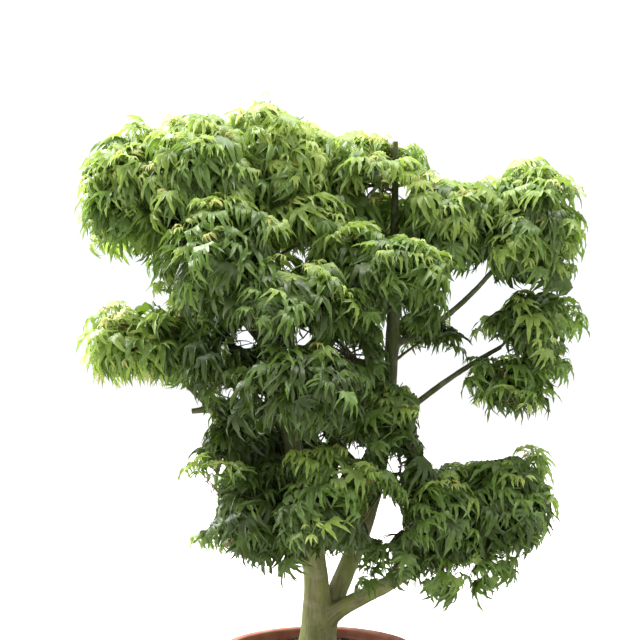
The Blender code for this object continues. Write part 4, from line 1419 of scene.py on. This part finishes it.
class MAPLE_OT_stage(bpy.types.Operator):
    """Lays the floor, hangs the lights and sets up the camera"""

    bl_idname = "maple.stage"
    bl_label = "Stage"

    def execute(self, context):
        scene = context.scene
        settings = scene.maple_stage
        shape = bmesh.new()
        bmesh.ops.create_circle(shape, cap_ends=True, segments=96, radius=FLOOR_RADIUS)
        floor = add_object("floor", mesh_from_bmesh("floor", shape))
        floor.data.materials.append(floor_material("studio floor, matt paint", settings))
        world = bpy.data.worlds.new("studio surround")
        world.use_nodes = True
        background = world.node_tree.nodes["Background"]
        background.inputs[0].default_value = (*settings.surround, 1.0)
        background.inputs[1].default_value = SURROUND_STRENGTH
        scene.world = world
        scene.view_settings.view_transform = "Standard"
        for name, (where, size, power) in LIGHTS.items():
            lamp = bpy.data.lights.new(name, "AREA")
            lamp.size = size
            lamp.energy = power
            holder = add_object(name, lamp)
            holder.location = where
            holder.rotation_euler = (LIGHTS_AIM - Vector(where)).to_track_quat("-Z", "Y").to_euler()
        camera = bpy.data.cameras.new("camera")
        camera.lens = settings.lens
        camera.sensor_width = 36.0
        camera.clip_end = 60.0
        scene.camera = add_object("camera", camera)
        scene.camera.location = (0.0, -settings.camera_distance, settings.camera_height)
        scene.camera.rotation_euler = CAMERA_TURN
        return {"FINISHED"}


class MAPLE_OT_pot(bpy.types.Operator):
    """Turns the terracotta pot"""

    bl_idname = "maple.pot"
    bl_label = "Pot"

    def execute(self, context):
        settings = context.scene.maple_pot
        clay = terracotta_material("terracotta, fired and unglazed", settings)
        add_piece("terracotta_pot", pot_mesh(settings.steps), [clay], ["pot"])
        return {"FINISHED"}


class MAPLE_OT_compost(bpy.types.Operator):
    """Fills the pot with compost and scatters its crumbs"""

    bl_idname = "maple.compost"
    bl_label = "Compost"

    def execute(self, context):
        settings = context.scene.maple_pot
        bed = compost_material("potting compost, moist", settings)
        add_piece("compost_bed", compost_mesh(), [bed], ["compost"])
        crumbs = compost_material("compost crumbs", settings)
        add_piece("compost_crumbs", crumb_mesh(), [crumbs])
        return {"FINISHED"}


class MAPLE_OT_bark(bpy.types.Operator):
    """Grows the trunk, the leader and the boughs in one skin of bark"""

    bl_idname = "maple.bark"
    bl_label = "Trunk and boughs"

    def execute(self, context):
        bark = bark_material("maple bark, smooth and olive", context.scene.maple_bark)
        nodes = [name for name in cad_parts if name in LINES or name.endswith("_bough")]
        add_piece("bark", bark_mesh(make_limbs(make_pads())), [bark], nodes)
        return {"FINISHED"}


class MAPLE_OT_twigs(bpy.types.Operator):
    """Grows the branchlets and shoots inside every pad"""

    bl_idname = "maple.twigs"
    bl_label = "Twigs"

    def execute(self, context):
        settings = context.scene.maple_foliage
        *_, grown = grow_crown(settings)
        parts, tones = [], []
        for twigs, _ in grown.values():
            for points, radii, young in twigs:
                arrays = tube_arrays(points, radii)
                parts.append(arrays)
                tones += [young] * len(arrays[1])
        mesh = mesh_from_arrays("twigs", *joined(parts), np.array(tones))
        old = twig_material("maple twig, last year's wood", settings.old_wood, settings.old_wood)
        young = twig_material("maple shoot, this year's wood", settings.young_wood, settings.old_wood)
        add_piece("twigs", mesh, [old, young])
        return {"FINISHED"}


class MAPLE_OT_leaves(bpy.types.Operator):
    """Hangs the leaves on every shoot"""

    bl_idname = "maple.leaves"
    bl_label = "Leaves"

    def execute(self, context):
        settings = context.scene.maple_foliage
        crown = grow_crown(settings)
        rng = random.Random(SEED)
        masters = [
            [leaf_arrays(rng, lobes, rows) for _ in range(VARIANTS)]
            for lobes, rows in ((LOBES[:3], PLAIN_ROWS), (LOBES, TOOTHED_ROWS))
        ]
        # One lit or shaded copy of the leaf material for each colour: painted light and shade
        materials = [
            leaf_material("maple leaf, " + name, getattr(settings, name), linear(code), share, roughness)
            for name, code, share, roughness in LEAF_TONES
        ]
        for name in REGIONS:
            leaf_piece(name, crown, masters, materials)
        return {"FINISHED"}


class MAPLE_PT_panel(bpy.types.Panel):
    """The steps that build the tree, in order"""

    bl_idname = "MAPLE_PT_panel"
    bl_label = "Potted Japanese Maple"
    bl_space_type = "VIEW_3D"
    bl_region_type = "UI"
    bl_category = "Maple"

    def draw(self, context):
        for operator in OPERATORS:
            self.layout.operator(operator.bl_idname)
        for group, name in GROUPS.items():
            box = self.layout.box()
            box.label(text=group.__doc__)
            for setting in group.__annotations__:
                box.prop(getattr(context.scene, name), setting)


OPERATORS = (
    MAPLE_OT_stage, MAPLE_OT_pot, MAPLE_OT_compost, MAPLE_OT_bark, MAPLE_OT_twigs, MAPLE_OT_leaves,
)
GROUPS = {
    MapleFoliage: "maple_foliage",
    MapleBark: "maple_bark",
    MaplePot: "maple_pot",
    MapleStage: "maple_stage",
}


def register():
    for group, name in GROUPS.items():
        bpy.utils.register_class(group)
        setattr(bpy.types.Scene, name, PointerProperty(type=group))
    for made in (*OPERATORS, MAPLE_PT_panel):
        bpy.utils.register_class(made)


def unregister():
    for made in (MAPLE_PT_panel, *reversed(OPERATORS)):
        bpy.utils.unregister_class(made)
    for group, name in GROUPS.items():
        delattr(bpy.types.Scene, name)
        bpy.utils.unregister_class(group)


def main():
    register()
    bpy.ops.maple.stage()
    bpy.ops.maple.pot()
    bpy.ops.maple.compost()
    bpy.ops.maple.bark()
    bpy.ops.maple.twigs()
    bpy.ops.maple.leaves()


if __name__ == "__main__":
    main()
